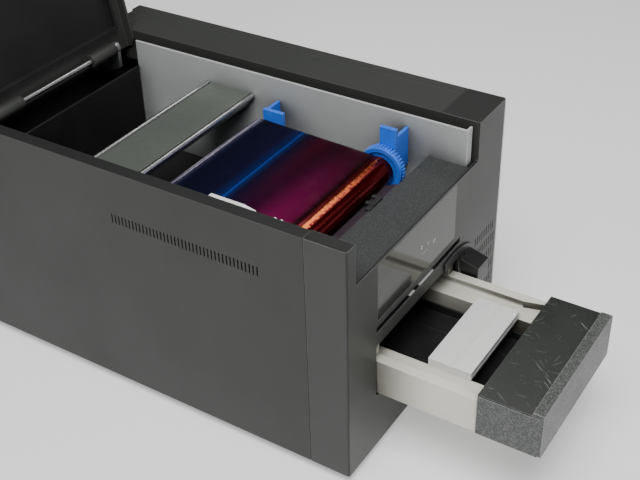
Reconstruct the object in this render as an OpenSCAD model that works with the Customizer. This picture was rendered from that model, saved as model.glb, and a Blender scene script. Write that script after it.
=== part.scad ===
// Large-format card printer: hinged top lid, film ribbon bay, pull-out card drawer.
// Millimetres, +Z up. The origin is on the table, under the middle of the casing.
// Pieces are drawn in the casing's own frame: x right and y back from the front
// face's left end, z up from the top of the rims. place() moves them to the origin.

/* [Casing] */
// Overall width of the casing
body_w = 280; // [272:1:300]
// Depth of the casing from the front face to the rear edge
body_d = 430; // [422:1:470]
// Height of the casing above its feet
body_h = 236; // [228:1:264]
// Wall of the moulded front cap
cap_t = 3; // [2.6:0.1:3.4]
// Thickness of the folded sheets
sheet_t = 2; // [1.6:0.1:2.4]
// How far the front cap wraps round the sides
cap_d = 38.4; // [35:0.2:41]
// Width of the flat rim along each side
rim_w = 12.6; // [11:0.1:13]
// Depth of the rim's inner skirt
rim_skirt = 28; // [20:1:32]
// Open seam between neighbouring casing parts
seam = 0.6; // [0.4:0.1:0.9]
// Outer corner radius of the front cap
corner_r = 2.4; // [1:0.1:2.5]

/* [Feet] */
// Height of the rubber feet
foot_h = 8; // [6:0.5:12]
// Radius of a foot where it stands
foot_r = 11; // [9:0.5:13]
// Distance of a foot's middle from the casing's sides
foot_inset = 26; // [22:1:34]

/* [Lid opening] */
// Width of the left post beside the notch
post_w = 13.2; // [12.8:0.1:14.5]
// Width of the opening that the lid closes
bay_w = 213.6; // [210:0.2:216]
// Drop of the notch in the front face
notch_drop = 39; // [36:0.5:42]
// Depth of the deck behind the notch, front to back
deck_d = 40; // [36:1:42]

/* [Vents] */
// Number of slots in each side row
vent_count = 41; // [30:1:44]
// Spacing of the side slots
vent_pitch = 3.77; // [3.4:0.01:4]
// Width of one side slot
vent_w = 1.5; // [1.2:0.1:1.8]
// Height of one side slot
vent_h = 9.8; // [8:0.2:12]
// Distance from the rim down to the row's middle
vent_drop = 48.3; // [44:0.5:54]
// Distance from the front face to the first side slot
vent_start = 83.7; // [78:0.5:92]
// Rows in the front grille
grille_rows = 5; // [3:1:5]
// Slots in one row of the front grille
grille_cols = 9; // [5:1:9]

/* [Front] */
// Width of the display overlay
display_w = 138.3; // [128:0.5:142]
// Height of the display overlay
display_h = 56; // [50:0.5:58]
// Left end of the display overlay
display_x = 47.3; // [42:0.5:52]
// Width of the card output slot
slot_w = 151.4; // [149:0.2:153]
// Height of the card output slot
slot_h = 5.9; // [5:0.1:7]
// Left end of the card output slot and the drawer opening
slot_x = 45.4; // [44:0.2:48]
// Distance from the top down to the slot
slot_drop = 103.3; // [101:0.1:105]

/* [Drawer] */
// How far the drawer is pulled out
drawer_out = 92; // [60:1:94]
// Outer width of the drawer
drawer_w = 146.4; // [145:0.2:147]
// Width of the pocket that holds the cards
pocket_w = 93.6; // [90:0.2:95]
// Length of the pocket that holds the cards
pocket_l = 146; // [142:1:150]
// Depth of the pocket below its shelf, down to the floor
pocket_h = 25; // [20:1:32]
// Width of the flat top of a drawer wall
tray_wall = 9.4; // [8:0.2:11]
// Depth of the rest that sticks out in front of the drawer
rest_d = 57; // [50:1:62]
// Thickness of the drawer's floor and fascia
tray_t = 3; // [2.5:0.1:3.5]

/* [Film spools] */
// Radius of the film on the take-up spool
take_film_r = 14.5; // [12:0.5:15.5]
// Radius of the film on the supply spool
supply_film_r = 23; // [16:0.5:23.5]
// Distance of the take-up spool behind the front face
take_y = 74; // [72:0.5:76]
// Depth of the take-up spool below the rims
take_drop = 45.4; // [44:0.2:47]
// Distance of the supply spool behind the front face
supply_y = 196; // [190:1:200]
// Depth of the supply spool below the rims
supply_drop = 50; // [47:0.5:52]
// Teeth on the take-up spool's flange
flange_teeth = 42; // [38:1:42]
// Teeth on the pinion that drives it
pinion_teeth = 18; // [16:1:20]
// Thickness of the film between the spools
film_t = 0.4; // [0.3:0.1:0.6]

/* [Rollers] */
// Radius of the platen roller
platen_r = 8; // [6.5:0.5:8.5]
// Radius of the transport rollers
feed_r = 7; // [6:0.5:8]
// Radius of the roller shafts
shaft_r = 3; // [2.5:0.1:3.5]
// Radial clearance of a shaft in its bearing
run_fit = 0.05; // [0.03:0.01:0.08]

/* [Lid] */
// Angle between the open lid and the closed one
lid_open = 100; // [70:1:104]
// Wall of the lid shell
lid_t = 2.5; // [2:0.1:3]
// Depth of the lid's side skirts
lid_skirt = 12; // [9:0.5:13]
// Radius of the hinge rod
pin_r = 2.5; // [2:0.1:3]

/* [Hidden] */

$fn = 48;
fit = 0.3;
cut = 1;
base_t = 3;
bay_x1 = post_w + bay_w;
floor_z = -body_h;

// Front openings, stacked down from the output slot
slot_z0 = -slot_drop - slot_h;
bar_h = 13.8;
drawer_z1 = slot_z0 - bar_h;
tray_gap = 2.2;
tray_x0 = slot_x + (slot_w - drawer_w) / 2;
tray_x1 = tray_x0 + drawer_w;
low_wall_z = drawer_z1 - 18;
high_wall_z = drawer_z1 - 3;
shelf_z = low_wall_z - 7.4;
pocket_z = shelf_z - pocket_h;
tray_z0 = pocket_z - tray_t;
drawer_z0 = tray_z0 - tray_gap;
pocket_x0 = tray_x0 + (drawer_w - pocket_w) / 2;
pocket_x1 = pocket_x0 + pocket_w;
tray_front = -drawer_out;
pocket_y0 = tray_front + tray_t;
pocket_y1 = pocket_y0 + pocket_l;
tray_back = pocket_y1 + tray_t;
rest_z = low_wall_z + 7;
rest_y0 = tray_front - rest_d;
front_lap = 0.9;

// Display and its recess
display_drop = notch_drop + 2;
display_t = 1.5;

// Inner walls that carry the spools and rollers
left_wall_x = post_w + seam + lid_t + 0.5 - sheet_t;
right_wall_x = post_w + bay_w - 13.8;
wall_y0 = 46;
right_wall_y0 = cap_t + fit + sheet_t + 0.1;
wall_z0 = floor_z + base_t;
bay_floor_z = drawer_z1 + 2.4;
left_wall_z1 = -16;
right_wall_z1 = -3;
deck_z = -notch_drop;
deck_y0 = 3.2;
deck_y1 = deck_y0 + deck_d;

// Print line, under the film
film_gap = 0.35;
platen_y = 128;
platen_top = -64.4 - film_gap;
platen_z = platen_top - platen_r;
film_x0 = left_wall_x + 13;
film_x1 = right_wall_x - 35;
flange_x = film_x1 + 1.5;
flange_disc_t = 3;
tooth_x0 = flange_x + flange_disc_t;
tooth_w = 5;
module_mm = 1;
flange_pitch_r = flange_teeth * module_mm / 2;
pinion_pitch_r = pinion_teeth * module_mm / 2;
pinion_dir = -40;
gear_gap = 0.12;
pinion_y = take_y + (flange_pitch_r + pinion_pitch_r + gear_gap) * cos(pinion_dir);
pinion_z = -take_drop + (flange_pitch_r + pinion_pitch_r + gear_gap) * sin(pinion_dir);
journal_r = 4;
core_r = 8;
support_t = 4.5;
left_support_x = left_wall_x + sheet_t;
right_support_x = tooth_x0 + tooth_w + 1.5;

// Card path, an arch with its top at the platen
path_z = platen_top + 0.4;
exit_y = 17;
exit_z = slot_z0 + 1.2;
feed_y = 226;
feed_path_z = -88;
guide_x0 = slot_x;
guide_x1 = slot_x + slot_w - 14;
guide_t = 1.2;
pick_r = 10;
pick_y = 120;
pick_z = shelf_z + 2 + pick_r;

// Rear end
rear_y = body_d - 5;
crossbar_y = rear_y - 15;
wall_y1 = crossbar_y - 30;
rod_r = 2.5;
rod_y0 = 236;
rod_y1 = 290;
rod_z = -28;

// Lid hinge
hinge_y = crossbar_y - 14;
hinge_z = -9;
lid_x0 = post_w + seam;
lid_x1 = bay_x1 - seam;
lid_back = hinge_y + 8;
knuckle_r = 6;
knuckle_w = 34;
ear_t = 4;
ear_x = [left_wall_x + 12, right_wall_x - 12 - ear_t];
liner_t = 2;

// Belt line outside the right wall
belt_x = right_wall_x + sheet_t + 2;
belt_w = 5;
belt_t = 1;
pulley_r = 7;

black = [0.07, 0.07, 0.075];
case_grey = [0.32, 0.33, 0.315];
dark_grey = [0.17, 0.175, 0.17];
light_grey = [0.55, 0.56, 0.56];
white = [0.85, 0.85, 0.83];
cream = [0.84, 0.82, 0.75];
steel = [0.72, 0.73, 0.74];
blue = [0.10, 0.32, 0.82];

module place() {
    translate([-body_w / 2, -body_d / 2, foot_h + body_h]) children();
}

// A block given by its two corners
module block(x, y, z) {
    translate([x[0], y[0], z[0]]) cube([x[1] - x[0], y[1] - y[0], z[1] - z[0]]);
}

// A drawing in y and z, given thickness along x
module along_x(x0, x1) {
    translate([x0, 0, 0]) rotate([90, 0, 90]) linear_extrude(x1 - x0) children();
}

// A drawing in x and z, given thickness along y
module along_y(y0, y1) {
    translate([0, y1, 0]) rotate([90, 0, 0]) linear_extrude(y1 - y0) children();
}

module bar_x(r, x0, x1, y, z) {
    translate([x0, y, z]) rotate([0, 90, 0]) cylinder(r = r, h = x1 - x0);
}

module round_rect(w, h, r) {
    translate([r, 0]) square([w - 2 * r, h]);
    translate([0, r]) square([w, h - 2 * r]);
    for (x = [r, w - r], y = [r, h - r]) translate([x, y]) circle(r);
}

// An upright slot with round ends, centred
module obround(w, h) {
    square([w, h - w], center = true);
    for (s = [-1, 1]) translate([0, s * (h - w) / 2]) circle(d = w);
}

// Involute tooth outline: n teeth of the given module, thinned by slack at the pitch line
function involute_angle(rb, r) =
    let (t = sqrt(max(0, pow(r / rb, 2) - 1))) t * 180 / PI - atan(t);
function tooth_half(n, m, r, slack) =
    let (rp = n * m / 2, rb = rp * cos(20))
    (90 / n) - slack / rp * 180 / PI / 2 + involute_angle(rb, rp) - involute_angle(rb, max(r, rb));
function tooth_points(n, m, slack, k) =
    let (rp = n * m / 2, rr = rp - 1.2 * m, ro = rp + m, a = k * 360 / n,
         radii = [rr, rp - 0.5 * m, rp, rp + 0.5 * m, ro])
    concat([for (r = radii) let (h = tooth_half(n, m, r, slack)) r * [cos(a - h), sin(a - h)]],
        [for (i = [4:-1:0]) let (r = radii[i], h = tooth_half(n, m, r, slack))
            r * [cos(a + h), sin(a + h)]]);
module gear_outline(n, m, slack) {
    polygon([for (k = [0:n - 1]) each tooth_points(n, m, slack, k)]);
}

// ---- Casing ----

pan_h = 20;
foot_boss_r = 7;
psu_z = 8;

module base_pan() {
    pan_y0 = cap_t + fit;
    pan_y1 = rear_y - fit;
    inner = cap_t + fit;
    color(dark_grey) place() difference() {
        union() {
            difference() {
                block([inner, body_w - inner], [pan_y0, pan_y1], [floor_z, floor_z + pan_h]);
                block([inner + sheet_t, body_w - inner - sheet_t], [pan_y0 + sheet_t, pan_y1 - sheet_t],
                    [floor_z + base_t, floor_z + pan_h + cut]);
            }
            for (p = foot_places()) translate([p[0], p[1], floor_z]) cylinder(r = foot_boss_r, h = 9);
            for (y = [body_d * 0.4, body_d * 0.6]) block([right_wall_x + sheet_t + 2, body_w - inner - sheet_t],
                [y, y + 2.5], [floor_z, floor_z + psu_z]);
        }
        for (p = foot_places()) translate([p[0], p[1], floor_z - cut])
            cylinder(r = 3 + run_fit, h = 9 + 2 * cut);
        for (p = screw_places()) if (p[1] < floor_z + pan_h)
            translate([p[0], pan_y1 - sheet_t - cut, p[1]]) rotate([-90, 0, 0])
                cylinder(r = 1.6, h = sheet_t + 2 * cut);
    }
}

function foot_places() = [for (x = [foot_inset, body_w - foot_inset],
    y = [foot_inset + 6, body_d - foot_inset - 6]) [x, y]];

module rubber_feet() {
    color(black) place() for (p = foot_places()) translate([p[0], p[1], floor_z - foot_h]) {
        rotate_extrude() polygon([[0, 0], [foot_r - 1, 0], [foot_r, 1], [foot_r - 2, foot_h],
            [3, foot_h], [3, foot_h + 8], [0, foot_h + 8]]);
    }
}

module side_slots() {
    for (i = [0:vent_count - 1]) translate([vent_start + i * vent_pitch, -vent_drop])
        obround(vent_w, vent_h);
}

// Folded sheet: outer wall with slots, flat rim, inner skirt and rear return flange
module side_panel() {
    y0 = cap_d + seam;
    flange_w = 18;
    along_x(0, sheet_t) difference() {
        translate([y0, floor_z]) square([body_d - y0, body_h]);
        side_slots();
    }
    along_y(y0, body_d) difference() {
        translate([sheet_t, -rim_skirt]) square([rim_w - sheet_t, rim_skirt]);
        translate([sheet_t - cut, -rim_skirt - cut])
            square([rim_w - 2 * sheet_t + cut, rim_skirt - sheet_t + cut]);
    }
    along_y(rear_y - sheet_t, rear_y) difference() {
        translate([sheet_t, floor_z + pan_h + fit]) square([flange_w, body_h - pan_h - rim_skirt - fit]);
        for (p = screw_places()) translate(p) circle(r = 1.6);
    }
}

module left_side_panel() {
    color(case_grey) place() side_panel();
}

module right_side_panel() {
    color(case_grey) place() translate([body_w, 0, 0]) mirror([1, 0, 0]) side_panel();
}

inlet_x = 60;
inlet_z = floor_z + 46;
inlet_size = [48, 27];
rocker_y = rear_y - 0.9;
port_x = 190;
port_size = [52, 22];
fan_x = 138;
fan_z = floor_z + 118;
fan_size = 60;

module rear_panel() {
    x0 = sheet_t + fit;
    color(case_grey) place() along_y(rear_y, rear_y + sheet_t) difference() {
        translate([x0, floor_z]) square([body_w - 2 * x0, body_h - rim_skirt - fit]);
        translate([inlet_x - inlet_size[0] / 2, inlet_z - inlet_size[1] / 2])
            square(inlet_size);
        translate([port_x - port_size[0] / 2, inlet_z - port_size[1] / 2]) square(port_size);
        for (ring = [1:3]) for (k = [0:8 * ring - 1])
            translate([fan_x + ring * 7.6 * cos(k * 45 / ring), fan_z + ring * 7.6 * sin(k * 45 / ring)])
                circle(r = 2.2, $fn = 24);
        translate([fan_x, fan_z]) circle(r = 2.2, $fn = 24);
        for (p = screw_places()) translate(p) circle(r = 1.6);
    }
}

screw_l = 5;

function screw_places() = [for (x = [14, body_w - 14], z = [floor_z + 13, floor_z + 110, -rim_skirt - 10])
    [x, z]];

module rear_screws() {
    color(steel) place() for (p = screw_places()) translate([p[0], rear_y + sheet_t, p[1]])
        rotate([-90, 0, 0]) {
            difference() {
                cylinder(r = 3, h = 1.8);
                for (a = [0, 90]) rotate([0, 0, a]) translate([-1.9, -0.4, 0.9]) cube([3.8, 0.8, 2]);
            }
            translate([0, 0, -screw_l]) cylinder(r = 1.55, h = screw_l);
        }
}

// Bar between the two rims behind the lid, with a lip that hangs down to the rear panel
module rear_crossbar() {
    color(case_grey) place() {
        block([rim_w + seam, body_w - rim_w - seam], [crossbar_y, rear_y + sheet_t], [-sheet_t, 0]);
        block([rim_w + seam, body_w - rim_w - seam], [rear_y, rear_y + sheet_t],
            [-rim_skirt, -sheet_t]);
    }
}

// Fixed cover over the right-hand bay, with the wall that faces the lid opening
module right_top_cover() {
    x1 = body_w - rim_w - seam;
    y1 = crossbar_y - seam;
    skirt = 34;
    color(case_grey) place() {
        block([bay_x1, x1], [cap_d + seam, y1], [-sheet_t, 0]);
        block([bay_x1, bay_x1 + sheet_t], [cap_d + seam, y1], [-skirt, -sheet_t]);
    }
}

// Plan of the front cap: the front wall with its two returns, round at the outer corners
module cap_outline() {
    difference() {
        cap_filled();
        translate([cap_t, cap_t]) square([body_w - 2 * cap_t, cap_d]);
    }
}

module cap_filled() {
    translate([corner_r, 0]) square([body_w - 2 * corner_r, cap_d]);
    translate([0, corner_r]) square([body_w, cap_d - corner_r]);
    for (x = [corner_r, body_w - corner_r]) translate([x, corner_r]) circle(corner_r);
}

// Hollow post beside the notch: flat top and inner wall, on the cap's own outline
module horn(x0, x1, wall_x) {
    translate([0, 0, -cap_t]) linear_extrude(cap_t) intersection() {
        cap_filled();
        translate([x0, 0]) square([x1 - x0, cap_d]);
    }
    block([wall_x, wall_x + cap_t], [0, cap_d], [-notch_drop - 6, 0]);
}

grille_x = body_w - 48;
grille_pitch = 4.7;
grille_row = 15.4;
grille_slot = [1.7, 10.6];
grille_top = 126;

module grille_slots() {
    for (r = [0:grille_rows - 1], c = [0:grille_cols - 1])
        translate([grille_x + (c + (r % 2) / 2) * grille_pitch,
            -grille_top - grille_slot[1] / 2 - r * grille_row]) obround(grille_slot[0], grille_slot[1]);
}

lever_x0 = tray_x1 + 2.2;
lever_w = 21.5;
lever_slot = [8, 15];
lever_pivot_y = 12;
lever_z = drawer_z1 - 6;

module front_cap() {
    grip_r = 3;
    color(case_grey) place() difference() {
        union() {
            difference() {
                translate([0, 0, floor_z]) linear_extrude(body_h) cap_outline();
                block([post_w, bay_x1], [-cut, cap_d + cut], [-notch_drop, cut]);
            }
            horn(0, post_w, post_w - cap_t);
            horn(bay_x1, body_w, bay_x1);
        }
        // Recess for the overlay
        translate([0, display_t, 0]) rotate([90, 0, 0]) linear_extrude(display_t + cut)
            translate([display_x, -display_drop - display_h]) round_rect(display_w, display_h, 1.2);
        block([slot_x, slot_x + slot_w], [-cut, cap_t + cut], [slot_z0, -slot_drop]);
        along_y(-cut, cap_t + cut) {
            translate([slot_x, drawer_z0]) round_rect(slot_w, drawer_z1 - drawer_z0, grip_r);
            grille_slots();
            translate([lever_x0 + 6, lever_z - lever_slot[1] / 2])
                square(lever_slot);
        }
    }
}

module display_panel() {
    gap = 0.15;
    color([0.25, 0.26, 0.25]) place() along_y(0.1, display_t) translate([display_x + gap,
        -display_drop - display_h + gap]) round_rect(display_w - 2 * gap, display_h - 2 * gap, 1.1);
}

module front_ledge() {
    x0 = post_w;
    x1 = right_wall_x;
    color(dark_grey) place() difference() {
        union() {
            block([x0, x1], [deck_y0, deck_y1], [deck_z - sheet_t, deck_z]);
            block([x0, x1], [deck_y1 - sheet_t, deck_y1], [deck_z - 12, deck_z - sheet_t]);
            block([x0, x1], [deck_y0, deck_y0 + sheet_t], [deck_z - 8, deck_z - sheet_t]);
        }
        translate([x0 + 9, deck_y0 + 3.4, deck_z - sheet_t - cut])
            cylinder(r = 1.2, h = sheet_t + 2 * cut);
    }
}

// Glossy apron that slopes from the deck down towards the take-up spool
module spool_apron() {
    color(black) place() along_x(post_w + seam + 4, film_x1 - 20)
        polygon([[deck_y1 + fit, deck_z - 0.6], [deck_y1 + 1.6, deck_z - 0.6],
            [deck_y1 + 12, deck_z - 5.4], [deck_y1 + 13, deck_z - 6.6], [deck_y1 + 13, deck_z - 16],
            [deck_y1 + 11.6, deck_z - 16], [deck_y1 + 11.6, deck_z - 7], [deck_y1 + fit, deck_z - 2.2]]);
}

module ribbon_sensor() {
    x0 = film_x0 + 88;
    y0 = deck_y1 + 0.3;
    color(black) place() difference() {
        union() {
            block([x0, x0 + 15], [y0, y0 + 9], [deck_z - 5, deck_z + 1.4]);
            block([x0 - 7, x0], [y0, y0 + 5], [deck_z - 5, deck_z + 0.4]);
        }
        block([x0 + 4, x0 + 11], [y0 + 4, y0 + 10], [deck_z - 1.2, deck_z + 2.4]);
        along_x(x0 - 8, x0 + 15 + cut)
            polygon([[deck_y1, deck_z - 0.5], [deck_y1, deck_z - 8], [deck_y1 + 14, deck_z - 8],
                [deck_y1 + 12, deck_z - 5.3], [deck_y1 + 1.6, deck_z - 0.5]]);
    }
}

// ---- Inner frame ----

module bearing_holes() {
    translate([platen_y, platen_z]) circle(r = shaft_r + run_fit);
    translate([feed_y, feed_path_z - feed_r]) circle(r = shaft_r + run_fit);
    translate([exit_y + 34, exit_roller_z()]) circle(r = shaft_r + run_fit);
    for (y = [rod_y0, rod_y1]) translate([y, rod_z]) circle(r = rod_r + run_fit);
}

function exit_roller_z() = path_at(exit_y + 34) - feed_r - 1;
function path_at(y) = y < platen_y
    ? exit_z + (path_z - exit_z) * (y - exit_y) / (platen_y - exit_y)
    : path_z + (feed_path_z - path_z) * (y - platen_y) / (feed_y - platen_y);

module inner_left_frame() {
    color(dark_grey) place() along_x(left_wall_x, left_wall_x + sheet_t) difference() {
        translate([wall_y0, wall_z0]) square([wall_y1 - wall_y0, left_wall_z1 - wall_z0]);
        bearing_holes();
    }
}

// Pale wall on the right of the ribbon bay, with a folded front flange
module inner_right_wall() {
    flange_w = 9;
    color(light_grey) place() {
        along_x(right_wall_x, right_wall_x + sheet_t) difference() {
            translate([right_wall_y0, wall_z0]) square([wall_y1 - right_wall_y0, right_wall_z1 - wall_z0]);
            bearing_holes();
            translate([pinion_y, pinion_z]) circle(r = journal_r + run_fit);
            translate([motor_y, motor_z]) circle(r = motor_shaft_r + 1);
        }
        block([right_wall_x + sheet_t, right_wall_x + flange_w], [right_wall_y0, right_wall_y0 + sheet_t],
            [deck_z - 20, right_wall_z1]);
    }
}

// Small catch plate in the gap at the right end of the notch
module lid_strike() {
    color(light_grey) place() {
        block([bay_x1 - 4, bay_x1], [cap_t + 11, cap_t + 21], [-32, -26]);
        block([bay_x1 - 4, bay_x1 - 2.5], [cap_t + 11, cap_t + 21], [-44, -32]);
    }
}

module bay_floor() {
    x0 = left_wall_x + sheet_t;
    color(black) place() {
        block([x0, right_wall_x], [wall_y0, wall_y1], [bay_floor_z, bay_floor_z + sheet_t]);
        for (x = [x0, right_wall_x - sheet_t]) block([x, x + sheet_t], [wall_y0, wall_y1],
            [bay_floor_z - 8, bay_floor_z]);
        block([x0 + sheet_t, right_wall_x - sheet_t], [wall_y1 - sheet_t, wall_y1],
            [bay_floor_z + sheet_t, -30]);
    }
}

// Thin sheets that carry the card from the feed roller over the platen to the slot
module card_guides() {
    front = [[4, exit_z], [exit_y + 24, path_at(exit_y + 24)]];
    middle = [[exit_y + 44, path_at(exit_y + 44)], [platen_y - platen_r - 3, path_at(platen_y - platen_r - 3)]];
    rear = [[platen_y + platen_r + 3, path_at(platen_y + platen_r + 3)], [feed_y - 10, path_at(feed_y - 10)]];
    color(dark_grey) place() for (run = [front, middle, rear]) {
        along_x(guide_x0, guide_x1) polygon([run[0], run[1], run[1] - [0, guide_t], run[0] - [0, guide_t]]);
        for (x = [guide_x0, guide_x1 - guide_t]) along_x(x, x + guide_t)
            polygon([run[0], run[1], run[1] + [0, 0.8], run[0] + [0, 0.8]]);
    }
}

module guide_rods() {
    color(steel) place() for (y = [rod_y0, rod_y1])
        bar_x(rod_r, left_wall_x - 1, right_wall_x + sheet_t + 1, y, rod_z);
}

// Satin cover plate between the two rods, folded down at both long edges
module transfer_cover() {
    y0 = rod_y0 + rod_r + 1;
    y1 = rod_y1 - rod_r - 1;
    x0 = left_wall_x + sheet_t;
    x1 = right_wall_x;
    color([0.42, 0.45, 0.42]) place() {
        block([x0, x1], [y0, y1], [rod_z, rod_z + 1.2]);
        for (y = [y0, y1 - 1.2]) block([x0, x1], [y, y + 1.2], [rod_z - 9, rod_z]);
    }
}

// White cradle with two tall prongs, on the left frame; one under each spool
module spool_cradle(y, z, r) {
    along_x(left_support_x, left_support_x + support_t) difference() {
        translate([y - r, z - r - 4]) square([2 * r, r + 4 + (left_wall_z1 + 7 - z)]);
        translate([y, z]) circle(r = journal_r + run_fit);
        translate([y - journal_r + 1, z]) square([2 * journal_r - 2, 60]);
        translate([y, left_wall_z1 + 7]) circle(r = r * 0.62);
    }
}

module left_spool_supports() {
    color(white) place() {
        spool_cradle(take_y, -take_drop, 10);
        spool_cradle(supply_y, -supply_drop, 12);
    }
}

// White rail beside the film's left edge, tapered to the front
module ribbon_guide_rail() {
    color(white) place() along_x(left_support_x, left_support_x + 4)
        polygon([[96, -10], [96, -6.2], [107, -3.6], [140, -3.6], [142, -6], [142, -34], [138, -38],
            [104, -38], [96, -28]]);
}

module right_spool_supports() {
    color(blue) place() {
        along_x(right_support_x, right_support_x + 4) difference() {
            union() {
                translate([take_y - 10, -take_drop - 12]) square([20, 30]);
                translate([take_y - 10, -take_drop + 18]) square([16, 20]);
                translate([take_y, -take_drop - 12]) circle(r = 10);
            }
            translate([take_y, -take_drop]) circle(r = journal_r + run_fit);
        }
        along_x(right_support_x, right_support_x + 4) difference() {
            union() {
                translate([supply_y - 11, -supply_drop]) square([22, 26]);
                translate([supply_y, -supply_drop]) circle(r = 11);
            }
            translate([supply_y, -supply_drop]) circle(r = journal_r + run_fit);
        }
        // Legs that screw both brackets to the right wall
        block([right_support_x + 4, right_wall_x], [take_y - 10, take_y - 7],
            [-take_drop - 8, -take_drop + 30]);
        block([right_support_x + 4, right_wall_x], [supply_y + 8, supply_y + 11],
            [-supply_drop, -supply_drop + 24]);
    }
}

// ---- Film and spools ----

// Film drawn straight from the top of one roll to the top of the other. With the lid
// shut the print head presses it down to the platen.
module ribbon_web() {
    take = [take_y, -take_drop];
    supply = [supply_y, -supply_drop];
    span = supply - take;
    a = atan2(span[1], span[0]) + acos((take_film_r - supply_film_r) / norm(span));
    out = [cos(a), sin(a)];
    under = film_gap;
    over = film_gap + film_t;
    color([0.35, 0.02, 0.22]) place() along_x(film_x0 + 1, film_x1 - 1)
        polygon([take + (take_film_r + over) * out, supply + (supply_film_r + over) * out,
            supply + (supply_film_r + under) * out, take + (take_film_r + under) * out]);
}

module spool_core(y, z) {
    color(white) place() {
        bar_x(core_r, left_support_x + support_t + 1, right_support_x - 0.5, y, z);
        bar_x(journal_r, left_support_x + fit, left_support_x + support_t + 2, y, z);
        bar_x(journal_r, right_support_x - 1, right_support_x + 5, y, z);
    }
}

module film_roll(y, z, r) {
    place() difference() {
        bar_x(r, film_x0, film_x1, y, z);
        bar_x(core_r, film_x0 - cut, film_x1 + cut, y, z);
    }
}

module take_up_core() {
    spool_core(take_y, -take_drop);
}

module supply_core() {
    spool_core(supply_y, -supply_drop);
}

module take_up_film() {
    color([0.30, 0.01, 0.03]) film_roll(take_y, -take_drop, take_film_r);
}

module supply_film() {
    color([0.04, 0.04, 0.16]) film_roll(supply_y, -supply_drop, supply_film_r);
}

// Blue flange: smooth disc against the film, gear teeth behind it
module take_up_flange() {
    color(blue) place() difference() {
        union() {
            difference() {
                bar_x(flange_pitch_r + 0.3, flange_x, tooth_x0, take_y, -take_drop);
                bar_x(flange_pitch_r - 3.6, flange_x - cut, flange_x + 1.8, take_y, -take_drop);
            }
            translate([0, take_y, -take_drop]) along_x(tooth_x0, tooth_x0 + tooth_w)
                rotate(pinion_dir + 180 / flange_teeth) gear_outline(flange_teeth, module_mm, 0.1);
        }
        bar_x(core_r, flange_x - cut, tooth_x0 + tooth_w + cut, take_y, -take_drop);
    }
}

module spool_pinion() {
    color(white) place() {
        translate([0, pinion_y, pinion_z]) along_x(tooth_x0, tooth_x0 + tooth_w)
            rotate(pinion_dir + 180) gear_outline(pinion_teeth, module_mm, 0.1);
        bar_x(journal_r, tooth_x0 + tooth_w, belt_x + 8, pinion_y, pinion_z);
        bar_x(journal_r + 2.5, tooth_x0 + tooth_w, right_wall_x - 0.5, pinion_y, pinion_z);
    }
}

// ---- Rollers ----

module pulley(y, z, bore_r) {
    difference() {
        union() {
            bar_x(pulley_r, belt_x, belt_x + belt_w, y, z);
            bar_x(pulley_r + 1.6, belt_x - 0.8, belt_x, y, z);
        }
        bar_x(bore_r, belt_x - 2, belt_x + belt_w + cut, y, z);
    }
}

module roller_shaft(y, z) {
    bar_x(shaft_r, left_wall_x - 1, belt_x + belt_w + 1, y, z);
}

module platen_roller() {
    place() {
        color(black) difference() {
            bar_x(platen_r, film_x0, film_x1, platen_y, platen_z);
            bar_x(shaft_r, film_x0 - cut, film_x1 + cut, platen_y, platen_z);
        }
        color(steel) {
            roller_shaft(platen_y, platen_z);
            pulley(platen_y, platen_z, shaft_r);
        }
    }
}

module sleeved_roller(y, z, r) {
    place() {
        color(black) for (x = [guide_x0 + 14, (guide_x0 + guide_x1) / 2 - 9, guide_x1 - 32]) difference() {
            bar_x(r, x, x + 18, y, z);
            bar_x(shaft_r, x - cut, x + 18 + cut, y, z);
        }
        color(steel) {
            roller_shaft(y, z);
            pulley(y, z, shaft_r);
        }
    }
}

module feed_roller() {
    sleeved_roller(feed_y, feed_path_z - feed_r, feed_r);
}

module exit_roller() {
    sleeved_roller(exit_y + 34, exit_roller_z(), feed_r);
}

module belt_loop(r) {
    hull() {
        translate([exit_y + 34, exit_roller_z()]) circle(r, $fn = 32);
        translate([feed_y, feed_path_z - feed_r]) circle(r, $fn = 32);
        translate([platen_y, platen_z]) circle(r, $fn = 32);
        translate([motor_y, motor_z]) circle(r, $fn = 32);
    }
}

module drive_belt() {
    inner_r = pulley_r + 0.35;
    color(black) place() along_x(belt_x + 0.4, belt_x + belt_w - 0.2) difference() {
        belt_loop(inner_r + belt_t);
        belt_loop(inner_r);
    }
}

pick_x0 = pocket_x0 + 12;
pick_x1 = pocket_x1 - 12;

module pick_roller() {
    mid = (pick_x0 + pick_x1) / 2;
    color(black) place() difference() {
        bar_x(pick_r, mid - 16, mid + 16, pick_y, pick_z);
        bar_x(shaft_r, mid - 16 - cut, mid + 16 + cut, pick_y, pick_z);
    }
    color(steel) place() bar_x(shaft_r, pick_x0 + 1, pick_x1 - 1, pick_y, pick_z);
}

// Rails with ears that hold the pick roller's shaft, and the tracks for the drawer
module drawer_runners() {
    track_y0 = cap_t + 1;
    track_y1 = pocket_l + 20;
    z1 = drawer_z0 + tray_gap - fit;
    color(dark_grey) place() {
        for (s = [[tray_x0 - 9, tray_x0 - fit], [tray_x1 + fit, tray_x1 + 9]]) {
            block(s, [track_y0, track_y1], [z1 - 3, z1 + 14]);
        }
        for (x = [tray_x0 - fit, tray_x1 - 10 + fit]) block([x, x + 10], [track_y0, track_y1], [z1 - 3, z1]);
        for (x = [pick_x0, pick_x1 - 3]) along_x(x, x + 3) difference() {
            translate([pick_y - 6, pick_z - 6]) square([12, bay_floor_z - pick_z + 6]);
            translate([pick_y, pick_z]) circle(r = shaft_r + run_fit);
        }
        for (x = [tray_x0 - 9, tray_x1 + 6]) for (y = [track_y0 + 12, track_y1 - 20])
            block([x, x + 3], [y, y + 8], [floor_z + base_t, z1 - 3]);
    }
}

// ---- Lid, drawn shut and swung about its hinge ----

module swing() {
    place() translate([0, hinge_y, hinge_z]) rotate([-lid_open, 0, 0])
        translate([0, -hinge_y, -hinge_z]) children();
}

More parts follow.
